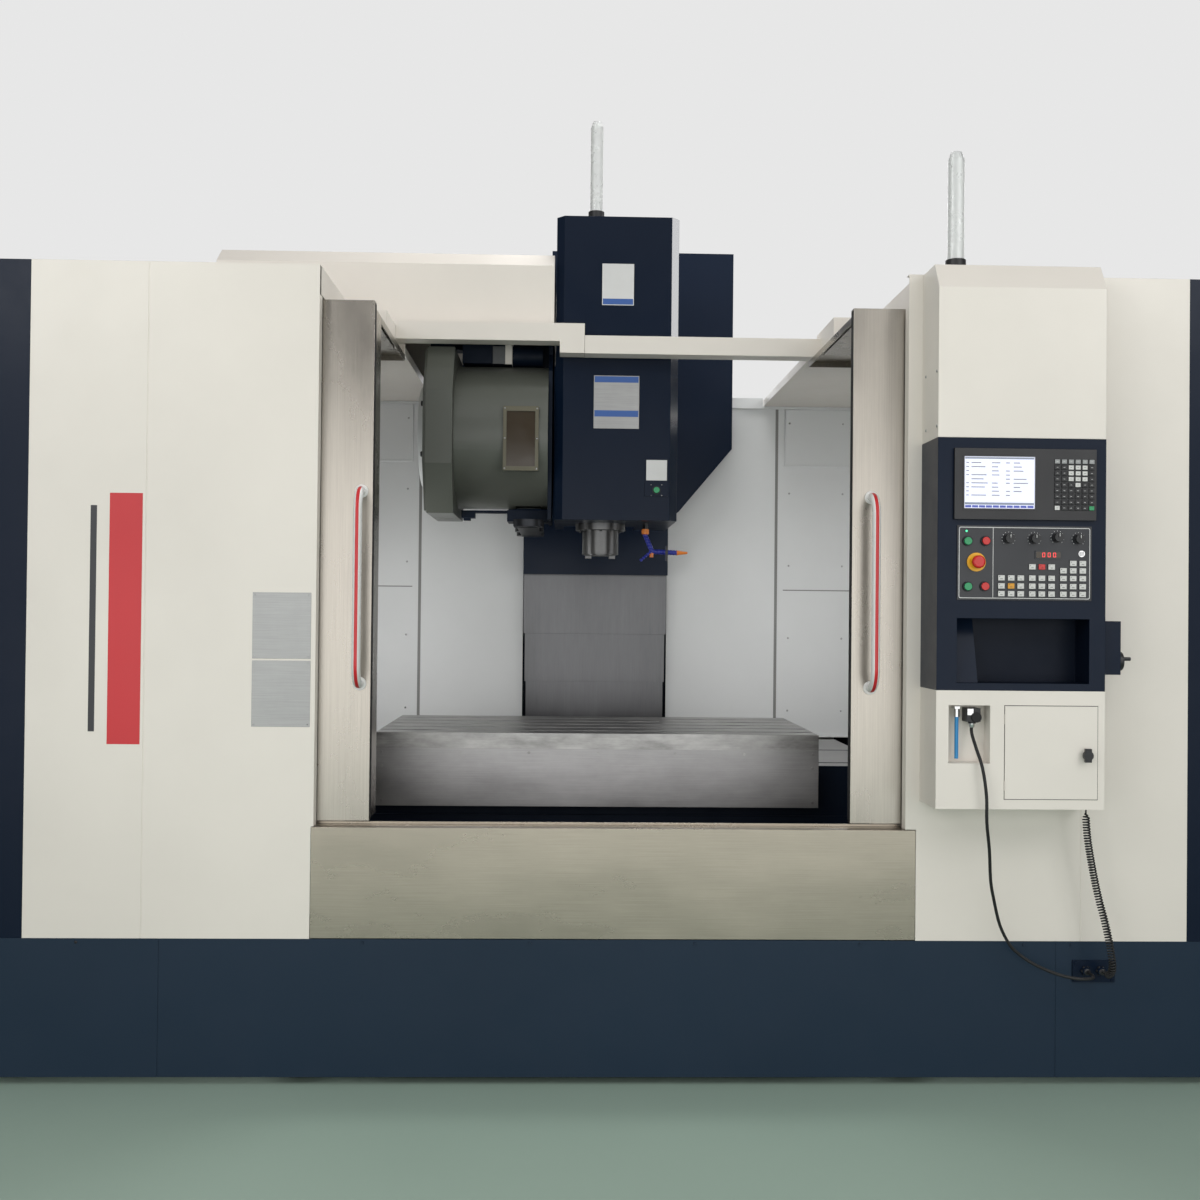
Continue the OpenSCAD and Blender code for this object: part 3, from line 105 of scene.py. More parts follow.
def wire(tree, *links):
    # each link is (node, its output, next node, its input)
    for start, output, end, socket in links:
        tree.links.new(start.outputs[output], end.inputs[socket])


def noise(tree, source, output, **values):
    node = fill(addNode(tree, "ShaderNodeTexNoise"), **values)
    wire(tree, (source, output, node, "Vector"))
    return node


def mapped(tree, source, output, span, target, **settings):
    # a value's span, stretched over the target
    node = fill(addNode(tree, "ShaderNodeMapRange", **settings),
                From_Min=span[0], From_Max=span[1], To_Min=target[0], To_Max=target[1])
    wire(tree, (source, output, node, "Value"))
    return node


def joined(tree, operation, first, second, **settings):
    # first and second are (node, its output)
    node = addNode(tree, "ShaderNodeMath", operation=operation, **settings)
    wire(tree, (*first, node, 0), (*second, node, 1))
    return node


def tinted(tree, given, tint, amount=None):
    # the color times the tint: a node's output, or a color mixed in by the amount
    node = addNode(tree, "ShaderNodeMix", data_type="RGBA", blend_type="MULTIPLY")
    pick = {socket.identifier: socket for socket in (*node.inputs, *node.outputs)}
    tree.links.new(given.outputs["Color"], pick["A_Color"])
    if amount:
        pick["B_Color"].default_value = tint
        tree.links.new(amount.outputs[0], pick["Factor_Float"])
    else:
        pick["Factor_Float"].default_value = 1
        tree.links.new(tint.outputs[0], pick["B_Color"])
    return pick["Result_Color"]


def newGroup(name, **inputs):
    group = bpy.data.node_groups.new(name, "ShaderNodeTree")
    kinds = {1: "NodeSocketFloat", 3: "NodeSocketVector", 4: "NodeSocketColor"}
    for label, value in inputs.items():
        kind = kinds[len(value) if isinstance(value, tuple) else 1]
        group.interface.new_socket(label.replace("_", " "), in_out="INPUT", socket_type=kind).default_value = value
    for label, kind in (("Color", kinds[4]), ("Roughness", kinds[1]), ("Normal", kinds[3])):
        group.interface.new_socket(label, in_out="OUTPUT", socket_type=kind)
    return group, *(addNode(group, kind) for kind in ("NodeGroupInput", "NodeGroupOutput", "ShaderNodeTexCoord"))


def closeGroup(group, given, out, tint, wear, height, strength, distance):
    # wear, as (node, its output), is added to the roughness; height bumps the surface
    rough = joined(group, "ADD", (given, "Roughness"), wear, use_clamp=True)
    bump = fill(addNode(group, "ShaderNodeBump"), Distance=distance)
    wire(group, (given, strength, bump, "Strength"), (height, "Fac", bump, "Height"),
         (rough, 0, out, "Roughness"), (bump, "Normal", out, "Normal"))
    group.links.new(tint, out.inputs["Color"])
    return group


def sprayPaintGroup():
    group, given, out, where = newGroup("sprayPaint", Color=(0.7, 0.7, 0.7, 1), Roughness=0.35, Peel=0.12,
                                        Peel_Scale=420.0, Handling=0.1)
    cloud = noise(group, where, "Object", Scale=1.3, Detail=6, Roughness=0.55)
    smear = noise(group, where, "Object", Scale=7, Detail=8, Roughness=0.7)
    peel = noise(group, where, "Object", Detail=2)
    wire(group, (given, "Peel Scale", peel, "Scale"))
    tone = mapped(group, cloud, "Fac", (0.3, 0.7), (0.95, 1.04))
    marks = mapped(group, smear, "Fac", (0.45, 0.75), (0, 1))
    amount = joined(group, "MULTIPLY", (marks, "Result"), (given, "Handling"))
    return closeGroup(group, given, out, tinted(group, given, tone), (amount, 0), peel, "Peel", 0.0004)


def brushedGroup():
    group, given, out, where = newGroup("brushedMetal", Color=(0.5, 0.5, 0.5, 1), Roughness=0.3,
                                        Line_Scale=(900, 900, 6), Line_Depth=0.2, Stain=0.25, Stain_Scale=(3, 3, 1.2))
    along = addNode(group, "ShaderNodeMapping")
    wide = addNode(group, "ShaderNodeMapping")
    wire(group, (where, "Object", along, "Vector"), (where, "Object", wide, "Vector"),
         (given, "Line Scale", along, "Scale"), (given, "Stain Scale", wide, "Scale"))
    lines = noise(group, along, "Vector", Scale=1, Detail=3, Roughness=0.7)
    cloud = noise(group, wide, "Vector", Scale=1, Detail=7, Roughness=0.62)
    tone = mapped(group, lines, "Fac", (0.25, 0.75), (0.86, 1.1))
    patch = mapped(group, cloud, "Fac", (0.3, 0.72), (1, 0))
    dark = joined(group, "MULTIPLY", (patch, "Result"), (given, "Stain"))
    keep = addNode(group, "ShaderNodeMath", operation="SUBTRACT")
    keep.inputs[0].default_value = 1
    wire(group, (dark, 0, keep, 1))
    both = joined(group, "MULTIPLY", (tone, "Result"), (keep, 0))
    swing = mapped(group, cloud, "Fac", (0.2, 0.8), (-0.07, 0.1))
    return closeGroup(group, given, out, tinted(group, given, both), (swing, "Result"), lines, "Line Depth", 0.0003)


def castSkinGroup():
    group, given, out, where = newGroup("castSkin", Color=(0.2, 0.2, 0.2, 1), Roughness=0.5, Grain=0.5,
                                        Grain_Scale=160.0, Grime=0.3)
    grain = noise(group, where, "Object", Detail=5, Roughness=0.6)
    grime = noise(group, where, "Object", Scale=5, Detail=8, Roughness=0.7)
    wire(group, (given, "Grain Scale", grain, "Scale"))
    dirt = mapped(group, grime, "Fac", (0.4, 0.7), (0, 1))
    amount = joined(group, "MULTIPLY", (dirt, "Result"), (given, "Grime"))
    result = tinted(group, given, (0.45, 0.42, 0.38, 1), amount)
    return closeGroup(group, given, out, result, (amount, 0), grain, "Grain", 0.0012)


sprayPaint = sprayPaintGroup()
brushedMetal = brushedGroup()
castSkin = castSkinGroup()


def newMaterial(name):
    made = bpy.data.materials.new(name)
    made.use_nodes = True
    return made, made.node_tree, made.node_tree.nodes["Principled BSDF"]


def finish(name, group, color, roughness, metallic=0, shine=0.5, **values):
    made, tree, shader = newMaterial(name)
    skin = addNode(tree, "ShaderNodeGroup", node_tree=group)
    fill(skin, Color=(*color, 1), Roughness=roughness, **values)
    fill(shader, Metallic=metallic, Specular_IOR_Level=shine)
    wire(tree, (skin, "Color", shader, "Base Color"), (skin, "Roughness", shader, "Roughness"),
         (skin, "Normal", shader, "Normal"))
    return made


def paint(name, color, roughness, peel=0.05, handling=0.05, shine=0.5):
    return finish(name, sprayPaint, color, roughness, shine=shine, Peel=peel, Handling=handling)


def steel(name, color, roughness, lines, depth, stain, patches=(3, 3, 1.2), metallic=1):
    # lines and patches are the scales of the brush lines and of the stains
    return finish(name, brushedMetal, color, roughness, metallic, Line_Scale=lines, Line_Depth=depth, Stain=stain,
                  Stain_Scale=patches)


def plastic(name, color, roughness=0.35, grain=0.05, grime=0.1):
    return finish(name, castSkin, color, roughness, Grain=grain, Grain_Scale=900, Grime=grime)


whitePaint = paint("whitePaint", (0.755, 0.71, 0.645), 0.34, 0.10, 0.14)
wallPaint = paint("wallPaint", (0.66, 0.67, 0.665), 0.42, 0.14, 0.2)
navyPaint = paint("navyPaint", (0.0036, 0.0095, 0.0240), 0.28, 0.16, 0.10, shine=0.15)
skirtPaint = paint("skirtPaint", (0.011, 0.025, 0.047), 0.36, 0.2, 0.22, shine=0.25)
drumPaint = paint("drumPaint", (0.098, 0.104, 0.088), 0.36, 0.3, 0.2)
seamShade = paint("seamShade", (0.20, 0.20, 0.19), 0.5, 0.1, 0.1)
glossNavy = paint("glossNavy", (0.0038, 0.0095, 0.0235), 0.10, 0.05, 0.03, shine=0.8)
# a darker copy of the navy: painted shade for the console's recessed pocket
deepNavy = paint("deepNavy", (0.0022, 0.0055, 0.0145), 0.42, 0.16, 0.1, shine=0.15)
rimPaint = paint("rimPaint", (0.115, 0.105, 0.065), 0.4, 0.2, 0.2)
capPaint = paint("capPaint", (0.60, 0.62, 0.61), 0.3, 0.1, 0.1)
redPaint = paint("redPaint", (0.56, 0.012, 0.018), 0.3)
greyPrint = paint("greyPrint", (0.035, 0.035, 0.04), 0.45)
bluePrint = paint("bluePrint", (0.03, 0.10, 0.34), 0.45)
stainlessUp = steel("stainlessUp", (0.46, 0.425, 0.375), 0.27, (700, 700, 4), 0.18, 0.22, (2.2, 2.2, 1.1))
stainlessAlong = steel("stainlessAlong", (0.47, 0.42, 0.35), 0.27, (4, 700, 700), 0.18, 0.24, (1.0, 2.2, 2.6))
apronSteel = steel("apronSteel", (0.46, 0.45, 0.45), 0.38, (5, 600, 600), 0.2, 0.35, (2.5, 4, 5))
waySteel = steel("waySteel", (0.165, 0.165, 0.17), 0.34, (500, 500, 3), 0.25, 0.4, (6, 6, 1.2))
groundIron = steel("groundIron", (0.50, 0.49, 0.48), 0.36, (6, 420, 500), 0.35, 0.55, (7, 9, 22))
darkSteel = steel("darkSteel", (0.045, 0.047, 0.052), 0.38, (60, 60, 60), 0.15, 0.3)
noseSteel = steel("noseSteel", (0.13, 0.13, 0.13), 0.30, (60, 60, 500), 0.2, 0.2)
bareSteel = steel("bareSteel", (0.46, 0.46, 0.455), 0.28, (60, 60, 60), 0.15, 0.3)
chromeSteel = steel("chromeSteel", (0.66, 0.66, 0.66), 0.13, (90, 90, 90), 0.08, 0.15)
plateGrey = steel("plateGrey", (0.40, 0.40, 0.395), 0.38, (8, 500, 500), 0.1, 0.2, metallic=0.6)
castPaint = finish("castPaint", castSkin, (0.004, 0.0095, 0.022), 0.42, shine=0.16, Grain=0.3, Grain_Scale=120,
                   Grime=0.25)
castGrey = finish("castGrey", castSkin, (0.12, 0.125, 0.13), 0.5, Grain=0.5, Grain_Scale=120, Grime=0.35)
blackPlastic = plastic("blackPlastic", (0.012, 0.012, 0.014), 0.38, 0.1)
panelFoil = plastic("panelFoil", (0.012, 0.014, 0.019), 0.30)
rubber = plastic("rubber", (0.010, 0.010, 0.011), 0.55, 0.2, 0.25)
keyWhite = plastic("keyWhite", (0.62, 0.62, 0.60), 0.4)
keyGrey = plastic("keyGrey", (0.30, 0.31, 0.31), 0.4)
keyYellow = plastic("keyYellow", (0.70, 0.32, 0.02), 0.4)
stopYellow = plastic("stopYellow", (0.80, 0.40, 0.01))
redGloss = plastic("redGloss", (0.56, 0.014, 0.012), 0.22, 0.03)
greenGloss = plastic("greenGloss", (0.012, 0.28, 0.10), 0.22, 0.03)
hoseBlue = plastic("hoseBlue", (0.012, 0.022, 0.26), 0.32)
hoseOrange = plastic("hoseOrange", (0.72, 0.20, 0.02), 0.34)
airBlue = plastic("airBlue", (0.02, 0.24, 0.54), 0.28, 0.02)
printWhite = plastic("printWhite", (0.66, 0.66, 0.65), 0.45, 0.03)
handleWhite = plastic("handleWhite", (0.76, 0.75, 0.73), 0.25, 0.02)


def clearFinish(name, color, roughness, transmission):
    made, tree, shader = newMaterial(name)
    fill(shader, Base_Color=(*color, 1), Metallic=0, Transmission_Weight=transmission, IOR=1.45)
    where = addNode(tree, "ShaderNodeTexCoord")
    smear = noise(tree, where, "Object", Scale=11, Detail=6, Roughness=0.7)
    spread = mapped(tree, smear, "Fac", (0.35, 0.7), (roughness, roughness + 0.12))
    wire(tree, (spread, "Result", shader, "Roughness"))
    return made


doorGlass = clearFinish("doorGlass", (0.82, 0.88, 0.87), 0.03, 0.9)
smokedPane = clearFinish("smokedPane", (0.060, 0.042, 0.024), 0.06, 0.25)
lampTube = clearFinish("lampTube", (0.74, 0.75, 0.74), 0.25, 0.25)


def glowFinish(name, color, strength):
    made = plastic(name, color, 0.3, 0.02, 0.04)
    fill(made.node_tree.nodes["Principled BSDF"], Emission_Color=(*color, 1), Emission_Strength=strength)
    return made


screenGlow = glowFinish("screenGlow", (0.70, 0.72, 0.84), 0.45)
screenGrey = glowFinish("screenGrey", (0.22, 0.25, 0.33), 0.25)
screenBlue = glowFinish("screenBlue", (0.06, 0.09, 0.42), 0.25)
screenInk = glowFinish("screenInk", (0.16, 0.16, 0.22), 0.1)
redGlow = glowFinish("redGlow", (0.9, 0.05, 0.06), 1.0)
greenGlow = glowFinish("greenGlow", (0.1, 0.85, 0.4), 1.0)
print("finishes mixed")


# Small makers

def place(made, body):
    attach(made, body)
    return made


def bodyOf(node):
    for name, members in frame["record"]["behaviour"]["bodies"].items():
        if node in members:
            return name


def meshPiece(name, bm, materials, smoothAngle=35):
    bm.normal_update()
    mesh = bpy.data.meshes.new(name)
    bm.to_mesh(mesh)
    bm.free()
    made = newObject(name, mesh)
    for material in materials if isinstance(materials, (list, tuple)) else [materials]:
        mesh.materials.append(material)
    mesh.shade_smooth()
    mesh.set_sharp_from_angle(angle=radians(smoothAngle))
    return made


def applied(made):
    graph = bpy.context.evaluated_depsgraph_get()
    graph.update()
    mesh = bpy.data.meshes.new_from_object(made.evaluated_get(graph))
    made.modifiers.clear()
    made.data = mesh
    mesh.name = made.name
    return made


def evened(made):
    # flat faces stay flat beside their broken edges
    even = made.modifiers.new("evenNormals", "WEIGHTED_NORMAL")
    even.weight, even.keep_sharp = 100, True
    return applied(made)


def softened(node, material, width, zones=()):
    # a merged copy of a CAD node with broken edges; zones are (material, test(x, depth, z, normal))
    bm = bmesh.new()
    bm.from_mesh(frame["nodes"][node].data)
    bmesh.ops.remove_doubles(bm, verts=bm.verts, dist=0.00001)
    bmesh.ops.dissolve_limit(bm, angle_limit=radians(1.0), verts=bm.verts, edges=bm.edges)
    made = meshPiece(node + "Skin", bm, [material, *[zone[0] for zone in zones]], 26)
    if width:
        soft = made.modifiers.new("soften", "BEVEL")
        soft.width = width / 1000
        soft.segments = 2
        soft.limit_method = "ANGLE"
        soft.angle_limit = radians(40)
        soft.use_clamp_overlap = True
        applied(made)
    evened(made)
    for face in made.data.polygons if zones else ():
        spot = face.center * 1000
        for number, (_, test) in enumerate(zones):
            if test(spot.x, spot.y - frontY * 1000, spot.z, face.normal):
                face.material_index = number + 1
                break
    place(made, bodyOf(node))
    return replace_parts(made, node)


def grid(xs, depth, zs):
    return [(x, depth, z) for x in xs for z in zs]


def circle(radius, start, step, count):
    angles = [radians(start + step * k) for k in range(count)]
    return [(radius * cos(a), radius * sin(a)) for a in angles]


def within(x=(-3000, 3000), d=(-3000, 4000), z=(-1, 4000)):
    # a zone test for a box in millimetres
    return lambda px, pd, pz, normal: x[0] < px < x[1] and d[0] < pd < d[1] and z[0] < pz < z[1]


def addBox(bm, low, high, soft, segments):
    # low and high in metres, soft in millimetres
    corners = bmesh.ops.create_cube(bm, size=1)["verts"]
    for vert in corners:
        vert.co = Vector([low[i] + (vert.co[i] + 0.5) * (high[i] - low[i]) for i in range(3)])
    edges = [edge for edge in bm.edges if edge.verts[0] in corners]
    bmesh.ops.bevel(bm, geom=edges, offset=min(soft / 1000, min(high - low) * 0.45), segments=segments, profile=0.5,
                    affect="EDGES")


def boxPiece(name, near, far, material, soft=0.6, body="machine"):
    bm = bmesh.new()
    addBox(bm, mm(*map(min, near, far)), mm(*map(max, near, far)), soft, 2)
    return place(evened(meshPiece(name, bm, material, 50)), body)


def platePiece(name, rect, depth, material, soft, body="machine"):
    # rect is (x0, z0, x1, z1), depth is (front, back)
    x0, z0, x1, z1 = rect
    return boxPiece(name, (x0, depth[0], z0), (x1, depth[1], z1), material, soft, body)


def grown(rect, by):
    return (rect[0] - by, rect[1] - by, rect[2] + by, rect[3] + by)


def boxesPiece(name, boxes, material, soft):
    # several small boxes in one piece
    bm = bmesh.new()
    for near, far in boxes:
        addBox(bm, mm(*map(min, near, far)), mm(*map(max, near, far)), soft, 1)
    return place(meshPiece(name, bm, material), "machine")


def ringOf(bm, radius, height, steps):
    # vertices about +Z, from millimetres
    turns = [2 * pi * k / steps for k in range(steps)]
    return [bm.verts.new((radius / 1000 * cos(a), radius / 1000 * sin(a), height / 1000)) for a in turns]


def bandOf(bm, lower, upper):
    # quads between two closed loops of vertices
    made = []
    for k in range(len(lower)):
        after = (k + 1) % len(lower)
        made.append(bm.faces.new((lower[k], lower[after], upper[after], upper[k])))
    return made


def closeRings(bm, rings):
    # each ring to the next, the last one to the first
    for i, ring in enumerate(rings):
        bandOf(bm, ring, rings[(i + 1) % len(rings)])
    bmesh.ops.recalc_face_normals(bm, faces=bm.faces)


def turnedMesh(profile, steps=40):
    # closed lathe about +Z; profile is (radius, height) in millimetres from one end to the other
    bm = bmesh.new()
    rings = []
    for radius, height in profile:
        rings.append(ringOf(bm, radius, height, steps) if radius > 0 else [bm.verts.new((0, 0, height / 1000))])
    for lower, upper in zip(rings, rings[1:]):
        for k in range(steps):
            loop = (lower[k % len(lower)], lower[(k + 1) % len(lower)],
                    upper[(k + 1) % len(upper)], upper[k % len(upper)])
            corners = [vert for i, vert in enumerate(loop) if vert not in loop[:i]]
            if len(corners) > 2:
                bm.faces.new(corners)
    for ring in (rings[0], rings[-1]):
        if len(ring) > 1:
            bm.faces.new(ring)
    bmesh.ops.recalc_face_normals(bm, faces=bm.faces)
    return bm


pointings = {"-Z": (pi, 0, 0), "-Y": (pi / 2, 0, 0), "-X": (0, -pi / 2, 0)}


def pointed(foot, pointing):
    x, y, _ = pointings[pointing]
    return Matrix.Translation(mm(*foot)) @ Matrix.Rotation(y, 4, "Y") @ Matrix.Rotation(x, 4, "X")


def turned(name, profile, foot, material, pointing="-Y", body="machine", steps=40):
    bm = turnedMesh(profile, steps)
    bm.transform(pointed(foot, pointing))
    return place(meshPiece(name, bm, material), body)


def ringPiece(name, inner, outer, low, high, foot, material, body="machine"):
    # closed washer with broken edges, facing the front
    c = min(0.4, (high - low) * 0.3, (outer - inner) * 0.3)
    loop = [(inner + c, low), (outer - c, low), (outer, low + c), (outer, high - c), (outer - c, high),
            (inner + c, high), (inner, high - c), (inner, low + c)]
    bm = bmesh.new()
    closeRings(bm, [ringOf(bm, radius, height, 48) for radius, height in loop])
    bm.transform(pointed(foot, "-Y"))
    return place(meshPiece(name, bm, material), body)


def roundedLoop(rect, radius):
    x0, z0, x1, z1 = grown(rect, -radius)
    spots = []
    for x, z, start in ((x1, z1, 0), (x0, z1, 90), (x0, z0, 180), (x1, z0, 270)):
        spots += [(x + i, z + j) for i, j in circle(radius, start, 22.5, 5)]
    return spots


def framePiece(name, outer, inner, depth, material, radius, body="machine"):
    # flat rectangular frame facing the front; outer and inner are (x0, z0, x1, z1), depth is (front, back)
    front, back = depth
    rise = min(0.4, (back - front) * 0.3)
    outside, inside = roundedLoop(outer, radius), roundedLoop(inner, max(0.5, radius - (inner[0] - outer[0])))
    centreX, centreZ = (outer[0] + outer[2]) / 2, (outer[1] + outer[3]) / 2
    bm = bmesh.new()
    rings = []
    for spots, d, shrink in ((outside, back, 0), (outside, front + rise, 0), (outside, front, rise),
                             (inside, front, rise), (inside, front + rise, 0), (inside, back, 0)):
        rings.append([bm.verts.new(mm(x - copysign(shrink, x - centreX), d, z - copysign(shrink, z - centreZ)))
                      for x, z in spots])
    closeRings(bm, rings)
    return place(meshPiece(name, bm, material), body)


def sweptMesh(points, radius, sides):
    # closed tube along points (metres), its radius in millimetres
    bm = bmesh.new()
    rings, side = [], Vector((1, 0, 0))
    for i, point in enumerate(points):
        ahead = (points[min(i + 1, len(points) - 1)] - points[max(i - 1, 0)]).normalized()
        side = (side - side.dot(ahead) * ahead).normalized()
        other = ahead.cross(side)
        turns = [2 * pi * k / sides for k in range(sides)]
        rings.append([bm.verts.new(point + radius / 1000 * (cos(a) * side + sin(a) * other)) for a in turns])
    faces = [face for lower, upper in zip(rings, rings[1:]) for face in bandOf(bm, lower, upper)]
    bm.faces.new(rings[0][::-1])
    bm.faces.new(rings[-1])
    bmesh.ops.recalc_face_normals(bm, faces=bm.faces)
    return bm, faces


# Free cords: the routes are those of the CAD solids

def between(a, b, c, e, t):
    return 0.5 * ((2 * b) + (c - a) * t + (2 * a - 5 * b + 4 * c - e) * t * t + (3 * b - a - 3 * c + e) * t * t * t)


def routeOf(points, steps):
    spots = [mm(*point) for point in points]
    last = len(spots) - 1
    line = [between(spots[max(i - 1, 0)], spots[i], spots[i + 1], spots[min(i + 2, last)], s / steps)
            for i in range(last) for s in range(steps)]
    return [*line, spots[last]]


controlCable = {
    "points": [(1113, -150, 1179.7), (1113, -150, 1150), (1118, -180, 1105), (1130, -206, 1045), (1142, -208, 960),
               (1146, -200, 880), (1168, -160, 787), (1186, -120, 686), (1207, -90, 617), (1237, -60, 530),
               (1275, -45, 463), (1310, -40, 430), (1345, -50, 407), (1385, -70, 390), (1425, -92, 379),
               (1465, -103, 373), (1495.5, -104, 371.5), (1523.8, -92.3, 371.5), (1535.5, -64, 371.5),
               (1535.5, -45, 371.5), (1535.5, -24.3, 371.5)],
    "diameter": 10, "steps": 4}
coiledCable = {
    "points": [(1500, -90, 916.7), (1500, -90, 880), (1508, -88, 800), (1528, -82, 700), (1546, -82, 620),
               (1562, -91, 550), (1573, -101, 485), (1580, -105, 430), (1583, -100.8, 405.5), (1584.5, -88.9, 387.6),
               (1584.5, -71, 375.7), (1584.5, -50, 371.5), (1584.5, -24.3, 371.5)],
    "outer": 24, "wire": 5, "pitch": 8.6, "steps": 12, "perTurn": 14, "lead": 22}


def cordCurve(name, node, line, diameter, resolution=4):
    curve = bpy.data.curves.new(name, "CURVE")
    curve.dimensions = "3D"
    spline = curve.splines.new("POLY")
    spline.points.add(len(line) - 1)
    for spot, point in zip(spline.points, line):
        spot.co = (*point, 1)
    curve.bevel_depth = diameter / 2000
    curve.bevel_resolution = resolution
    curve.use_fill_caps = True
    curve.materials.append(rubber)
    made = place(newObject(name, curve), "machine")
    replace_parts(made, node)
    return made


def coilOf(line):
    # turns wound about the line, which grow at both ends
    spans = [0]
    for a, b in zip(line, line[1:]):
        spans.append(spans[-1] + (b - a).length)
    whole, lead, pitch = spans[-1], coiledCable["lead"] / 1000, coiledCable["pitch"] / 1000
    perTurn = coiledCable["perTurn"]
    count = round((whole - 2 * lead) / pitch) * perTurn
    coil, side, spot = [line[0]], Vector((1, 0, 0)), 0
    for k in range(count + 1):
        far = lead + (whole - 2 * lead) * k / count
        while spans[spot + 1] < far:
            spot += 1
        t = (far - spans[spot]) / (spans[spot + 1] - spans[spot])
        centre = line[spot].lerp(line[spot + 1], t)
        ahead = (line[spot + 1] - line[spot]).normalized()
        side = (side - side.dot(ahead) * ahead).normalized()
        angle = 2 * pi * k / perTurn
        grow = min(1, k / (2 * perTurn), (count - k) / (2 * perTurn))
        radius = (coiledCable["outer"] - coiledCable["wire"]) / 2000 * grow
        coil.append(centre + radius * (cos(angle) * side + sin(angle) * ahead.cross(side)))
    return [*coil, line[-1]]


def makeCords():
    line = routeOf(controlCable["points"], controlCable["steps"])
    made = cordCurve("controlCable", "control_cable", line, controlCable["diameter"])
    coil = coilOf(routeOf(coiledCable["points"], coiledCable["steps"]))
    made = cordCurve("coiledCable", "coiled_cable", coil, coiledCable["wire"], 2)


makeCords()
print("cords hung")


# Geometry Nodes: one head, cap or mark set on every point of a list

def setOnPointsTree():
    tree = bpy.data.node_groups.new("setOnPoints", "GeometryNodeTree")
    sockets = {}
    tree.interface.new_socket("Geometry", in_out="OUTPUT", socket_type="NodeSocketGeometry")
    for label, kind in (("Geometry", "NodeSocketGeometry"), ("Head", "NodeSocketObject"), ("Turn", "NodeSocketRotation"),
                        ("Size", "NodeSocketFloat"), ("Material", "NodeSocketMaterial")):
        sockets[label] = tree.interface.new_socket(label, in_out="INPUT", socket_type=kind).identifier
    given = addNode(tree, "NodeGroupInput")
    out = addNode(tree, "NodeGroupOutput")
    head = addNode(tree, "GeometryNodeObjectInfo")
    scatter = addNode(tree, "GeometryNodeInstanceOnPoints")
    real = addNode(tree, "GeometryNodeRealizeInstances")
    tint = addNode(tree, "GeometryNodeSetMaterial")
    wire(tree, (given, "Geometry", scatter, "Points"), (given, "Head", head, "Object"),
         (head, "Geometry", scatter, "Instance"), (given, "Turn", scatter, "Rotation"),
         (given, "Size", scatter, "Scale"), (scatter, "Instances", real, "Geometry"),
         (real, "Geometry", tint, "Geometry"), (given, "Material", tint, "Material"),
         (tint, "Geometry", out, "Geometry"))
    return tree, sockets


setTree, setSockets = setOnPointsTree()
patterns = []


def patternHead(name, bm):
    # a mesh that the tree copies; all of them go before the end
    head = meshPiece(name, bm, bareSteel)
    patterns.append(head)
    return head


def setOnPoints(name, head, spots, material, pointing="-Y", body="machine", size=1.0):
    mesh = bpy.data.meshes.new(name)
    mesh.from_pydata([mm(*spot) for spot in spots], [], [])
    made = newObject(name, mesh)
    nodes = made.modifiers.new("setOnPoints", "NODES")
    nodes.node_group = setTree
    nodes[setSockets["Head"]] = head
    nodes[setSockets["Turn"]] = pointings[pointing]
    nodes[setSockets["Size"]] = size
    nodes[setSockets["Material"]] = material
    applied(made)
    made.data.shade_smooth()
    made.data.set_sharp_from_angle(angle=radians(35))
    return place(made, body)


def socketHead(radius, height, recess, depth):
    profile = [(0, 0), (radius, 0), (radius, height * 0.7), (radius * 0.86, height), (recess, height),
               (recess * 0.95, height - depth), (0, height - depth)]
    return turnedMesh(profile, 12)


def blockHead(width, length, height, soft):
    bm = bmesh.new()
    addBox(bm, Vector((-width / 2, -length / 2, 0)) / 1000, Vector((width / 2, length / 2, height)) / 1000, soft, 1)
    return bm


capScrew = patternHead("capScrew", socketHead(5.5, 4.5, 2.9, 2.5))
buttonScrew = patternHead("buttonScrew", turnedMesh([(0, 0), (5, 0), (4.6, 1.2), (3.4, 2.2), (1.9, 2.6), (1.8, 1.4),
                                                     (0, 1.4)], 12))
drumBolt = patternHead("drumBolt", socketHead(11, 9, 5.5, 5))
keyCap = patternHead("keyCap", blockHead(20.4, 16.4, 1.2, 0.5))
smallKeyCap = patternHead("smallKeyCap", blockHead(15.6, 12.8, 1.0, 0.4))
keyMark = patternHead("keyMark", blockHead(8, 1.4, 0.12, 0.04))
keyDot = patternHead("keyDot", turnedMesh([(0, 0), (1.1, 0), (1.1, 0.12), (0, 0.12)], 8))
print("patterns ready")


# Sheet-metal housing

housing = {"soft": 1.0, "seam": (2050.6, 2052), "skirtScrewX": (-1700, -796, -260, 269, 803, 1337, 1491),
           "skirtScrewZ": (452,), "wall": 2050, "wallScrewX": (-1180, -920, 920, 1180),
           "wallScrewZ": (1050, 1400, 1750, 2100, 2440)}


def makeHousing():
    for node in ("left_front_panel", "right_front_panel", "left_roof", "right_roof"):
        softened(node, whitePaint, housing["soft"])
    near, far = housing["seam"]
    softened("back_wall", wallPaint, 0, [(seamShade, lambda x, d, z, n: near < d < far and n.y < -0.5)])
    for node in ("left_side_cover", "right_side_cover"):
        softened(node, navyPaint, 1.2)
    softened("front_skirt", skirtPaint, 1.0)
    softened("front_sill", stainlessAlong, 1.0)
    softened("base_casting", castGrey, 4)
    softened("levelling_feet", bareSteel, 1)
    setOnPoints("skirtScrews", buttonScrew, grid(housing["skirtScrewX"], 0, housing["skirtScrewZ"]), blackPlastic)
    spots = grid(housing["wallScrewX"], housing["wall"], housing["wallScrewZ"])
    setOnPoints("wallScrews", buttonScrew, spots, bareSteel)


makeHousing()
print("housing made")


leftPanelMarks = {"bar": (-1612, 1080, -1508, 1880), "line": (-1672, 1120, -1652, 1840),
                  "plates": (-1156, 1139, -970, 1568), "gap": 3, "rivetInset": 8}


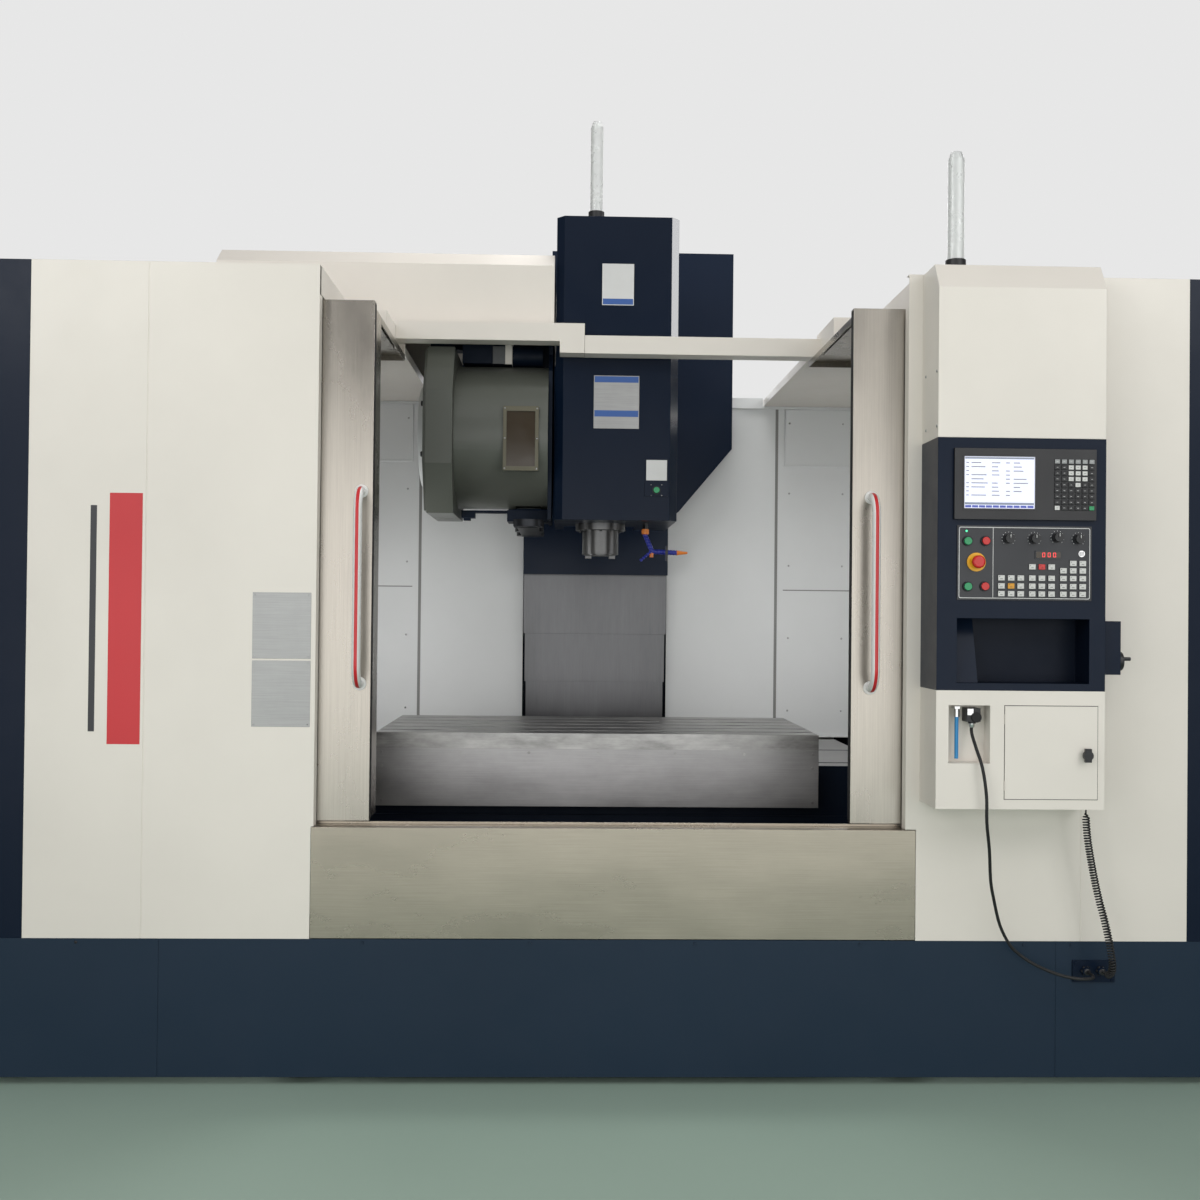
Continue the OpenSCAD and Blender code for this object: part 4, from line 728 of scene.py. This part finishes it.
def makePanelMarks():
    # generic marks where a machine's name and its table of data would be
    for name, mark, front, material in (("redBar", "bar", -0.6, redPaint), ("greyLine", "line", -0.5, greyPrint)):
        platePiece(name, leftPanelMarks[mark], (front, 0.2), material, 0.2)
    x0, z0, x1, z1 = leftPanelMarks["plates"]
    middle, gap, inset = (z0 + z1) / 2, leftPanelMarks["gap"], leftPanelMarks["rivetInset"]
    for name, low, high in (("upperDataPlate", middle + gap, z1), ("lowerDataPlate", z0, middle - gap)):
        platePiece(name, (x0, low, x1, high), (-1.2, 0.2), plateGrey, 0.5)
        spots = grid((x0 + inset, x1 - inset), -1.0, (low + inset, high - inset))
        setOnPoints(name + "Rivets", buttonScrew, spots, bareSteel, size=0.5)


makePanelMarks()
print("panel marks made")


# Doors

door = {"soft": 1.0, "leftEdge": -787, "rightEdge": 779, "window": (240, 760, 1350, 2050), "face": 55,
        "gasketOut": 14, "gasketIn": 2, "gasket": (52.5, 56), "seal": (58, 90, 840, 2515), "sealWidth": 0.8}
handle = {"x": (-823, 841), "grip": -21, "low": 1338, "high": 1838, "bow": 62, "diameter": 28, "flange": 44,
          "stripe": 4.2, "stripeBend": 255}


def handleRoute(x):
    # foot, quarter bow, straight grip, quarter bow, foot
    bow, steps = handle["bow"], 10
    centre = handle["grip"] + bow
    line = [mm(x, door["face"], handle["low"] - bow), mm(x, centre + 4, handle["low"] - bow)]
    for k in range(steps + 1):
        a = pi / 2 * k / steps
        line.append(mm(x, centre - bow * sin(a), handle["low"] - bow * cos(a)))
    for k in range(1, 12):
        line.append(mm(x, handle["grip"], handle["low"] + (handle["high"] - handle["low"]) * k / 12))
    for k in range(steps + 1):
        a = pi / 2 * k / steps
        line.append(mm(x, centre - bow * cos(a), handle["high"] + bow * sin(a)))
    return [*line, mm(x, centre + 4, handle["high"] + bow), mm(x, door["face"], handle["high"] + bow)]


def makeHandle(side, x, body):
    line = handleRoute(x)
    radius, rim, middle = handle["diameter"] / 2, handle["flange"] / 2, (handle["low"] + handle["high"]) / 2
    bm, faces = sweptMesh(line, radius, 32)
    for face in faces:
        centre = face.calc_center_median() * 1000
        face.normal_update()
        turn, above = face.normal, centre.z - middle
        if abs(centre.x - x) < handle["stripe"] and turn.y < 0.5 and abs(turn.x) < 0.4:
            outward = turn.y < -0.2 or (abs(above) > handle["stripeBend"] and turn.z * above > 0)
            face.material_index = 1 if outward else 0
    place(meshPiece(side + "HandleGrip", bm, [handleWhite, redPaint]), body)
    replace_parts(bpy.data.objects[side + "HandleGrip"], side + "_handle")
    profile = [(0, 0), (rim, 0), (rim, 3.6), (rim - 1.2, 5), (radius + 1, 5), (0, 5)]
    for where, z in (("Low", handle["low"] - handle["bow"]), ("High", handle["high"] + handle["bow"])):
        turned(side + where + "Flange", profile, (x, door["face"], z), handleWhite, body=body)


def makeDoors():
    wide, thin = door["gasketOut"], door["gasketIn"]
    for side, edge, way, x in (("left", door["leftEdge"], -1, handle["x"][0]),
                               ("right", door["rightEdge"], 1, handle["x"][1])):
        body = side + "_door"
        softened(body, stainlessUp, door["soft"])
        softened(side + "_window", doorGlass, 0)
        near, far, low, high = door["window"]
        x0, x1 = sorted((edge + way * near, edge + way * far))
        window = (x0, low, x1, high)
        framePiece(side + "Gasket", grown(window, wide), grown(window, -thin), door["gasket"], rubber, 18, body)
        makeHandle(side, x, body)
        d0, d1, low, high = door["seal"]
        boxPiece(side + "EdgeSeal", (edge, d0, low), (edge - way * door["sealWidth"], d1, high), rubber, 0.2, body)


makeDoors()
print("doors made")


# Table, saddle and way covers

table = {"centre": -27, "half": 850, "sheet": (771, 990), "sheetFront": 795.3, "sheetBack": 796.2, "screwDepth": 795.5,
         "screwX": (-855, -555, -292, -27, 271, 535, 801), "screwZ": (975,), "endScrewX": (-852, 800),
         "endScrewZ": (922, 790), "saddleTop": 919.2}


def makeTable():
    softened("table", groundIron, 1.0)
    softened("saddle", castPaint, 1.5, [(apronSteel, lambda x, d, z, n: z > table["saddleTop"] and n.z > 0.5)])
    centre, half, (low, high) = table["centre"], table["half"] - 1, table["sheet"]
    boxPiece("apronSheet", (centre - half, table["sheetFront"], low), (centre + half, table["sheetBack"], high),
             apronSteel, 0.3, "table")
    spots = grid(table["screwX"], table["screwDepth"], table["screwZ"])
    spots += grid(table["endScrewX"], table["screwDepth"], table["endScrewZ"])
    setOnPoints("apronScrews", buttonScrew, spots, bareSteel, body="table")
    for node in ("x_ball_screw", "y_ball_screw", "z_ball_screw"):
        softened(node, bareSteel, 0)
    for node in ("lower_z_cover", "middle_z_cover"):
        softened(node, waySteel, 0.8)


makeTable()
print("table made")


# Column, head and spindle

head = {"front": 950, "upperPlate": (-25, 2734, 101, 2899), "lowerPlate": (-54, 2244, 126, 2454),
        "switchPlate": (157, 2040, 239, 2121), "release": (198, 2001.6), "screwReach": 21, "chamferX": 248,
        "lampX": -50, "lampFoot": 3088.5, "lampTube": 3119.5, "shieldFoot": (2009, 2000)}
nose = {"x": -16, "depth": 1200, "boltCircle": 92, "top": 1887, "bottom": 1853, "radius": 108}


def makeHeadPlates():
    # a plate's bands lie between two heights above its foot
    front = head["front"]
    for name, plate, material, bands in (("upperHead", "upperPlate", printWhite, {"Band": (3, 26)}),
                                         ("lowerHead", "lowerPlate", plateGrey, {"Top": (183, 207), "Foot": (47, 72)})):
        x0, z0, x1, _ = head[plate]
        platePiece(name + "Plate", head[plate], (front - 2.8, front - 1.8), material, 0.3, "head")
        for band, (low, high) in bands.items():
            platePiece(name + band, (x0 + 3, z0 + low, x1 - 3, z0 + high), (front - 3.0, front - 2.5), bluePrint, 0.1,
                       "head")
    platePiece("switchLabel", head["switchPlate"], (front - 4.6, front - 3.8), printWhite, 0.2, "head")


def makeHead():
    softened("column_casting", castPaint, 5)
    softened("head_casting", castPaint, 3, [(noseSteel, lambda x, d, z, n: (
        z < nose["top"] and hypot(x - nose["x"], d - nose["depth"]) < nose["radius"]))])
    softened("head_cover", navyPaint, 1.5, [
        (lampTube, lambda x, d, z, n: z > head["lampTube"] and abs(x - head["lampX"]) < 40),
        (blackPlastic, lambda x, d, z, n: z > head["lampFoot"] and abs(x - head["lampX"]) < 40),
        (glossNavy, lambda x, d, z, n: n.x > 0.5 and n.y < -0.5 and x > head["chamferX"])])
    softened("head_shield", navyPaint, 1.0, [
        (waySteel, lambda x, d, z, n: d > head["shieldFoot"][0] and z < head["shieldFoot"][1])])
    softened("spindle_motor", blackPlastic, 1.5)
    softened("spindle", noseSteel, 0.8)
    front = head["front"]
    makeHeadPlates()
    x, z = head["release"]
    reach = head["screwReach"]
    spots = grid((x - reach, x + reach), front - 4, (z - reach, z + reach))
    setOnPoints("switchScrews", buttonScrew, spots, bareSteel, body="head", size=0.45)
    ringPiece("releaseRing", 13, 17, 0, 5, (x, front - 4, z), darkSteel, "head")
    softened("tool_release_button", greenGloss, 0.8)
    spots = [(nose["x"] + i, nose["depth"] + j, nose["bottom"]) for i, j in circle(nose["boltCircle"], 30, 60, 6)]
    setOnPoints("noseScrews", capScrew, spots, blackPlastic, "-Z", "head", size=1.2)


makeHead()
print("head made")


coolant = {"x": 165, "collar": 1834, "block": 1857, "tip": 293.5, "lever": 252, "leverHalf": 5.6, "leverBack": 1097,
           "leverGap": (1752, 1775), "secondTip": 26, "secondTipTop": 1758, "secondTipFront": 1091, "tipRadius": 8.2}


def makeNozzles():
    c = coolant
    low, high = c["leverGap"]
    softened("coolant_nozzles", hoseBlue, 0, [
        (blackPlastic, lambda x, d, z, n: z > c["block"] or (
            abs(x - c["lever"]) < c["leverHalf"] and d < c["leverBack"] and (z < low or z > high or n.y < -0.9))),
        (hoseOrange, lambda x, d, z, n: z > c["collar"] or x > c["tip"] or (
            abs(x - c["x"] - c["secondTip"]) < c["tipRadius"] and z < c["secondTipTop"] and d > c["secondTipFront"]))])


makeNozzles()


# Tool changer

drum = {"axis": (1200, 2232), "capX": -722, "capRadius": 243, "boltCircle": 262, "boltStart": 22,
        "frame": (-409, 2067, -270, 2320), "rim": (13, 17, 19), "rimDepth": (896.6, 898.4), "screwDepth": 896.8,
        "block": (-466, -414), "strip": (-416, -385), "blockFoot": 2520, "blockBack": 1225}


def makeMagazine():
    back, foot = (0, drum["blockBack"]), (drum["blockFoot"], 4000)
    softened("changer_body", castPaint, 1.5, [(castGrey, within(x=drum["block"], d=back, z=foot)),
                                              (whitePaint, within(x=drum["strip"], d=back, z=foot))])
    axisD, axisZ = drum["axis"]
    softened("magazine_drum", drumPaint, 1.2, [
        (capPaint, lambda x, d, z, n: x < drum["capX"] + 0.5 and hypot(d - axisD, z - axisZ) < drum["capRadius"])])
    softened("magazine_window", smokedPane, 0)
    softened("tool_disc", bareSteel, 0.8)
    softened("changer_arm", darkSteel, 1.2)
    bolts = circle(drum["boltCircle"], drum["boltStart"], 45, 8)
    spots = [(drum["capX"] - 6, axisD + i, axisZ + j) for i, j in bolts]
    setOnPoints("drumBolts", drumBolt, spots, blackPlastic, "-X")
    x0, z0, x1, z1 = drum["frame"]
    wide, low, high = drum["rim"]
    framePiece("windowRim", drum["frame"], (x0 + wide, z0 + low, x1 - wide, z1 - high), drum["rimDepth"], rimPaint,
               3)
    spots = grid((x0 + wide / 2, x1 - wide / 2), drum["screwDepth"], (z0 + 8, (z0 + z1) / 2, z1 - 9))
    setOnPoints("windowScrews", buttonScrew, spots, bareSteel, size=0.8)


makeMagazine()
print("tool changer made")


# Operator pod

pod = {"left": 992, "bracketX": 1582.5, "pocket": within(x=(1110, 1490), d=(-179, 4000), z=(1295, 1520)),
       # the pod face in the gap around the console door, painted black as painted shade
       "doorGapShade": within(x=(1204.4, 1499.6), d=(-179.9, -177.5), z=(946.4, 1239.6)),
       "plug": within(x=(1088, 1138), d=(-169, -121), z=(1178, 1230)),
       "airLine": within(x=(1055, 1076), d=(-169, -130), z=(1069, 1204)),
       "airFitting": within(x=(1053, 1078), d=(-169, -121), z=(1199, 1235)),
       "doorKnob": within(x=(1436, 1484), d=(-1000, -183), z=(1063, 1111)), "lampFoot": 2645,
       "glands": (1535.5, 1584.5), "glandZ": 371.5, "sideScrews": ((-41, 2281), (-163, 2277), (-46, 2107), (-167, 2105))}


def makePod():
    softened("pod_upper_box", whitePaint, 1.5)
    # inside the pocket the console gets the darker navy, painted shade in the recess
    softened("pod_console", navyPaint, 1.5, [
        (blackPlastic, lambda x, d, z, n: x > pod["bracketX"]), (deepNavy, pod["pocket"])])
    # the pod face in the gap round the console door gets the black rubber finish as painted shade
    softened("pod_lower_box", whitePaint, 1.5, [
        (rubber, pod["doorGapShade"]), (blackPlastic, pod["plug"]), (airBlue, pod["airLine"]),
        (chromeSteel, pod["airFitting"])])
    turned("plugCap", [(0, 0), (16, 0), (16, 5), (14.5, 6.6), (0, 6.6)], (1121, -167.6, 1200), rubber)
    turned("plugSleeve", [(0, 0), (8.6, 0), (8.6, 10), (6.8, 13), (0, 13)], (1113, -150, 1180), chromeSteel, "-Z")
    boxPiece("plugClip", (1093, -169.4, 1206), (1113, -166, 1227), chromeSteel, 1.2)
    softened("console_door", whitePaint, 1.0, [(blackPlastic, pod["doorKnob"])])
    softened("signal_lamp", lampTube, 1.2, [(blackPlastic, lambda x, d, z, n: z < pod["lampFoot"])])
    softened("gland_plate", navyPaint, 0.6)
    nut = [(0, 0), (16, 0), (16, 9), (13, 11), (0, 11)]
    dome = [(0, 11), (13.2, 11), (13, 15), (10, 18.5), (7, 20), (0, 20)]
    for number, x in enumerate(pod["glands"]):
        for name, profile, steps in (("glandNut", nut, 6), ("glandDome", dome, 40)):
            turned(name + str(number), profile, (x, -6, pod["glandZ"]), blackPlastic, steps=steps)
    setOnPoints("podSideScrews", buttonScrew, [(pod["left"], d, z) for d, z in pod["sideScrews"]], bareSteel, "-X")


makePod()

screen = {"rect": (1070, 1847, 1294, 2011), "face": -189.4, "print": 0.25, "lip": (-193, -191), "keysX": 1360.5,
          "keysZ": 1852, "stepX": 21.6, "stepZ": 18, "keyFace": -195, "markFace": -196, "tab": 19,
          "rows": 9, "topRow": 22, "rowStep": 12.6, "fieldHeight": 2.4}


def entryKeyKind(row, column):
    # rows count down from the top
    if row == 0:
        return "keyGrey"
    if (1 <= row <= 3 and 2 <= column <= 4) or (row, column) in ((4, 3), (8, 0)):
        return "keyWhite"
    return "greenGloss" if (row, column) == (8, 5) else "blackPlastic"


def makeDisplay():
    softened("display_unit", blackPlastic, 0.8)
    x0, z0, x1, z1 = screen["rect"]
    d = screen["face"]
    platePiece("screenGlass", grown(screen["rect"], -1), (d, d + 1.2), screenGlow, 0.3)
    framePiece("screenLip", grown(screen["rect"], 5), grown(screen["rect"], -1), screen["lip"], blackPlastic, 3)
    face, back, tab = d - screen["print"], d + 0.2, screen["stepX"]
    bars = ((z1 - 9, z1 - 4), (z0 + 13, z0 + 20))
    boxesPiece("screenBars", [((x0 + 4, face, low), (x1 - 4, back, high)) for low, high in bars], screenGrey, 0.05)
    boxesPiece("screenTabs", [((x0 + 5 + tab * k, face, z0 + 4), (x0 + 5 + screen["tab"] + tab * k, back, z0 + 11))
                              for k in range(10)], screenBlue, 0.05)
    lines = []
    for row in range(screen["rows"]):
        z = z1 - screen["topRow"] - screen["rowStep"] * row
        for x, wide in ((x0 + 8, 8), (x0 + 24, 30 + (row * 13) % 22), (x0 + 88, 26 - (row * 7) % 9), (x0 + 132, 12),
                        (x0 + 156, 20 + (row * 5) % 30)):
            if (row * 3 + round(x)) % 5:
                lines.append(((x, face, z), (x + wide, back, z + screen["fieldHeight"])))
    boxesPiece("screenFields", lines, screenInk, 0.05)


def makeEntryKeys():
    finishes = {"keyGrey": keyGrey, "keyWhite": keyWhite, "blackPlastic": blackPlastic, "greenGloss": greenGloss}
    groups = {kind: [] for kind in finishes}
    for column in range(6):
        for step in range(9):
            x, z = screen["keysX"] + screen["stepX"] * column, screen["keysZ"] + screen["stepZ"] * step
            groups[entryKeyKind(8 - step, column)].append((x, screen["keyFace"], z))
    for kind, spots in groups.items():
        setOnPoints("entryKeys_" + kind, smallKeyCap, spots, finishes[kind])
    for name, kinds, material in (("Pale", ("keyGrey", "blackPlastic"), printWhite), ("Dark", ("keyWhite",), greyPrint)):
        marks = [(x, screen["markFace"], z) for kind in kinds for x, _, z in groups[kind]]
        setOnPoints("entryMarks" + name, keyMark, marks, material, size=0.7)


makeDisplay()
makeEntryKeys()

panel = {
    "rect": (1053, 1565, 1474, 1796), "face": -184, "cols": (1190.5, 1221, 1251, 1287, 1317, 1347.5, 1384.5, 1415, 1445),
    "rows": (1585, 1609, 1634), "overColumns": ((1669, (3, 4, 5)), (1658, (6, 7, 8)), (1681, (7, 8))),
    "redKey": (1317, 1669), "yellowKey": (1221, 1609), "divider": 1165,
    "knobs": {"mode_knob": (1213, 1756), "feed_knob": (1294, 1756), "rapid_knob": (1366, 1761),
              "spindle_knob": (1432, 1757)},
    "buttons": {"power_on_button": (1084.5, 1747, "green"), "power_off_button": (1141, 1748, "red"),
                "cycle_start_button": (1085.5, 1606, "green"), "feed_hold_button": (1139, 1607, "red")},
    "rosette": 16.5, "stop": (1112, 1682), "stopRadius": 30, "dialRadius": 20.5, "lamp": (1081, 1778),
    "window": (1299, 1697, 1375, 1716), "digitX": 1318, "digitStep": 17, "digitZ": 1700}


def makePanelKeys(d):
    white, red, yellow = [], [], []
    cols = panel["cols"]
    spots = [(x, z) for x in cols for z in panel["rows"]]
    spots += [(cols[k], z) for z, chosen in panel["overColumns"] for k in chosen]
    for spot in spots:
        kind = red if spot == panel["redKey"] else yellow if spot == panel["yellowKey"] else white
        kind.append((spot[0], d - 3, spot[1]))
    for name, kind, material in (("White", white, keyWhite), ("Red", red, redGloss), ("Yellow", yellow, keyYellow)):
        setOnPoints("machineKeys" + name, keyCap, kind, material)
    setOnPoints("machineKeyMarks", keyMark, [(x, d - 4.2, z - 3) for x, z in spots], greyPrint)
    setOnPoints("machineKeyDots", keyDot, [(x - 6, d - 4.2, z + 4) for x, z in spots], greyPrint, size=1.2)


def makeNumberWindow(d):
    platePiece("numberWindow", panel["window"], (d - 3.5, d - 2.8), smokedPane, 0.2)
    strokes = ((0, 0, 1.6, 13), (7, 0, 8.6, 13), (1, 12, 8, 13.4), (1, -0.4, 8, 1))
    digits = []
    for k in range(3):
        x, z = panel["digitX"] + panel["digitStep"] * k, panel["digitZ"]
        digits += [((x + left, d - 3.8, z + low), (x + right, d - 3.3, z + high)) for left, low, right, high in strokes]
    boxesPiece("numberDigits", digits, redGlow, 0.05)


def makeOperatorPanel():
    stopX, stopZ = panel["stop"]
    d = panel["face"]
    softened("operator_panel", panelFoil, 0.6, [
        (stopYellow, lambda x, y, z, n: y < d - 0.2 and hypot(x - stopX, z - stopZ) < panel["stopRadius"]),
        (darkSteel, lambda x, y, z, n: y < d - 0.2 and min(
            hypot(x - bx, z - bz) for bx, bz, _ in panel["buttons"].values()) < panel["rosette"])])
    rect, x, line = panel["rect"], panel["divider"], (d - 0.35, d + 0.1)
    framePiece("panelOutline", grown(rect, -5), grown(rect, -7), line, printWhite, 6)
    platePiece("panelDivider", (x - 0.9, rect[1] + 7, x + 0.9, rect[3] - 7), line, printWhite, 0.1)
    makePanelKeys(d)
    for node, (x, z, color) in panel["buttons"].items():
        softened(node, greenGloss if color == "green" else redGloss, 1.0)
        ringPiece(node + "Bezel", 12.4, 15.2, 0, 6.4, (x, d, z), darkSteel)
    softened("emergency_stop", redGloss, 1.6)
    ringPiece("stopRing", 14, 29.2, 0, 4.6, (stopX, d, stopZ), stopYellow)
    ticks = []
    for node, (x, z) in panel["knobs"].items():
        softened(node, blackPlastic, 1.0)
        boxPiece(node + "Line", (x - 0.9, d - 22.3, z + 2), (x + 0.9, d - 21.7, z + 12), printWhite, 0.1, bodyOf(node))
        ticks += [(x + i, d, z + j) for i, j in circle(panel["dialRadius"], -45, 27, 11)]
    setOnPoints("dialTicks", keyDot, ticks, printWhite)
    softened("key_switch", chromeSteel, 0.5)
    softened("handwheel", blackPlastic, 1.5)
    makeNumberWindow(d)
    lampX, lampZ = panel["lamp"]
    lampProfile = [(0, 0), (3.4, 0), (3.4, 1.6), (2.4, 3), (0, 3.4)]
    turned("powerLamp", lampProfile, (lampX, d - 1, lampZ), greenGlow, steps=20)


makeOperatorPanel()
print("operator pod made")


for node in ("electrical_cabinet", "cabinet_door"):
    softened(node, whitePaint, 2)
print("cabinet made")


# Floor, backdrop and lamps

studio = {"backdrop": (0.80, 0.80, 0.80, 1), "floor": (0.33, 0.44, 0.37), "sky": 0.22, "fade": (5.0, 10.0)}
lamps = (("topLamp", (0, -2600, 5200), (0, 900, 1200), (6.0, 3.0), 50),
         ("leftLamp", (-3500, -3700, 3900), (0, 500, 1200), (2.2, 1.8), 56),
         ("rightLamp", (3500, -3700, 3900), (0, 500, 1200), (2.2, 1.8), 50),
         ("frontCard", (0, -5600, 1500), (0, 0, 1400), (10.0, 2.9), 160),
         ("innerLamp", (250, 1300, 4700), (100, 1700, 1500), (1.4, 0.8), 40),
         ("leftWorkLamp", (-1150, 900, 1500), (-560, 2050, 1450), (0.6, 0.6), 5.5),
         ("rightWorkLamp", (1150, 900, 1600), (620, 2050, 1550), (0.6, 0.6), 4.5),
         ("rightBayLamp", (1750, 1150, 1950), (282, 1080, 1950), (0.34, 1.05), 17),
         ("rightHighLamp", (1900, 1150, 3400), (282, 1080, 3200), (0.34, 1.0), 7),
         ("backLamp", (0, 7000, 4200), (0, 2500, 1400), (5.0, 3.0), 120))


def mixed(tree, amount, first, second, end):
    mix = addNode(tree, "ShaderNodeMixShader")
    wire(tree, (amount, 0, mix, 0), (first, 0, mix, 1), (second, 0, mix, 2), (mix, 0, end, "Surface"))


def makeSky():
    # lights with one brightness and shows another
    world = bpy.data.worlds.new("studioWorld")
    bpy.context.scene.world = world
    world.use_nodes = True
    tree = world.node_tree
    tree.nodes.clear()
    out = addNode(tree, "ShaderNodeOutputWorld")
    light = fill(addNode(tree, "ShaderNodeBackground"), Color=(1, 1, 1, 1), Strength=studio["sky"])
    seen = fill(addNode(tree, "ShaderNodeBackground"), Color=studio["backdrop"], Strength=1)
    path = addNode(tree, "ShaderNodeLightPath")
    either = joined(tree, "MAXIMUM", (path, "Is Camera Ray"), (path, "Is Transmission Ray"))
    mixed(tree, either, light, seen, out)


def makeFloor():
    # a painted floor that fades into the backdrop
    floorPaint, tree, shader = newMaterial("floorPaint")
    fill(shader, Base_Color=(*studio["floor"], 1))
    where = addNode(tree, "ShaderNodeTexCoord")
    wear = noise(tree, where, "Object", Scale=1.1, Detail=8, Roughness=0.7)
    spread = mapped(tree, wear, "Fac", (0.3, 0.7), (0.42, 0.6))
    reach = addNode(tree, "ShaderNodeVectorMath", operation="LENGTH")
    wire(tree, (spread, "Result", shader, "Roughness"), (where, "Object", reach, 0))
    fade = mapped(tree, reach, "Value", studio["fade"], (0, 1), interpolation_type="SMOOTHSTEP")
    path = addNode(tree, "ShaderNodeLightPath")
    amount = joined(tree, "MULTIPLY", (fade, "Result"), (path, "Is Camera Ray"))
    glow = fill(addNode(tree, "ShaderNodeEmission"), Color=studio["backdrop"], Strength=1)
    mixed(tree, amount, shader, glow, tree.nodes["Material Output"])
    bm = bmesh.new()
    bmesh.ops.create_circle(bm, cap_ends=True, radius=40, segments=96)
    bmesh.ops.translate(bm, verts=bm.verts, vec=(0, 0, -0.001))
    meshPiece("studioFloor", bm, floorPaint)


def makeLamps():
    for name, spot, aim, size, power in lamps:
        data = bpy.data.lights.new(name, "AREA")
        data.shape = "RECTANGLE"
        data.size, data.size_y = size
        data.energy = power
        lamp = newObject(name, data)
        lamp.visible_camera = False
        start, end = mm(*spot), mm(*aim)
        lamp.matrix_world = Matrix.Translation(start) @ (end - start).to_track_quat("-Z", "Y").to_matrix().to_4x4()


bpy.context.scene.view_settings.view_transform = "Standard"
makeSky()
makeFloor()
makeLamps()
print("studio lit")

for pattern in patterns:
    bpy.data.objects.remove(pattern)
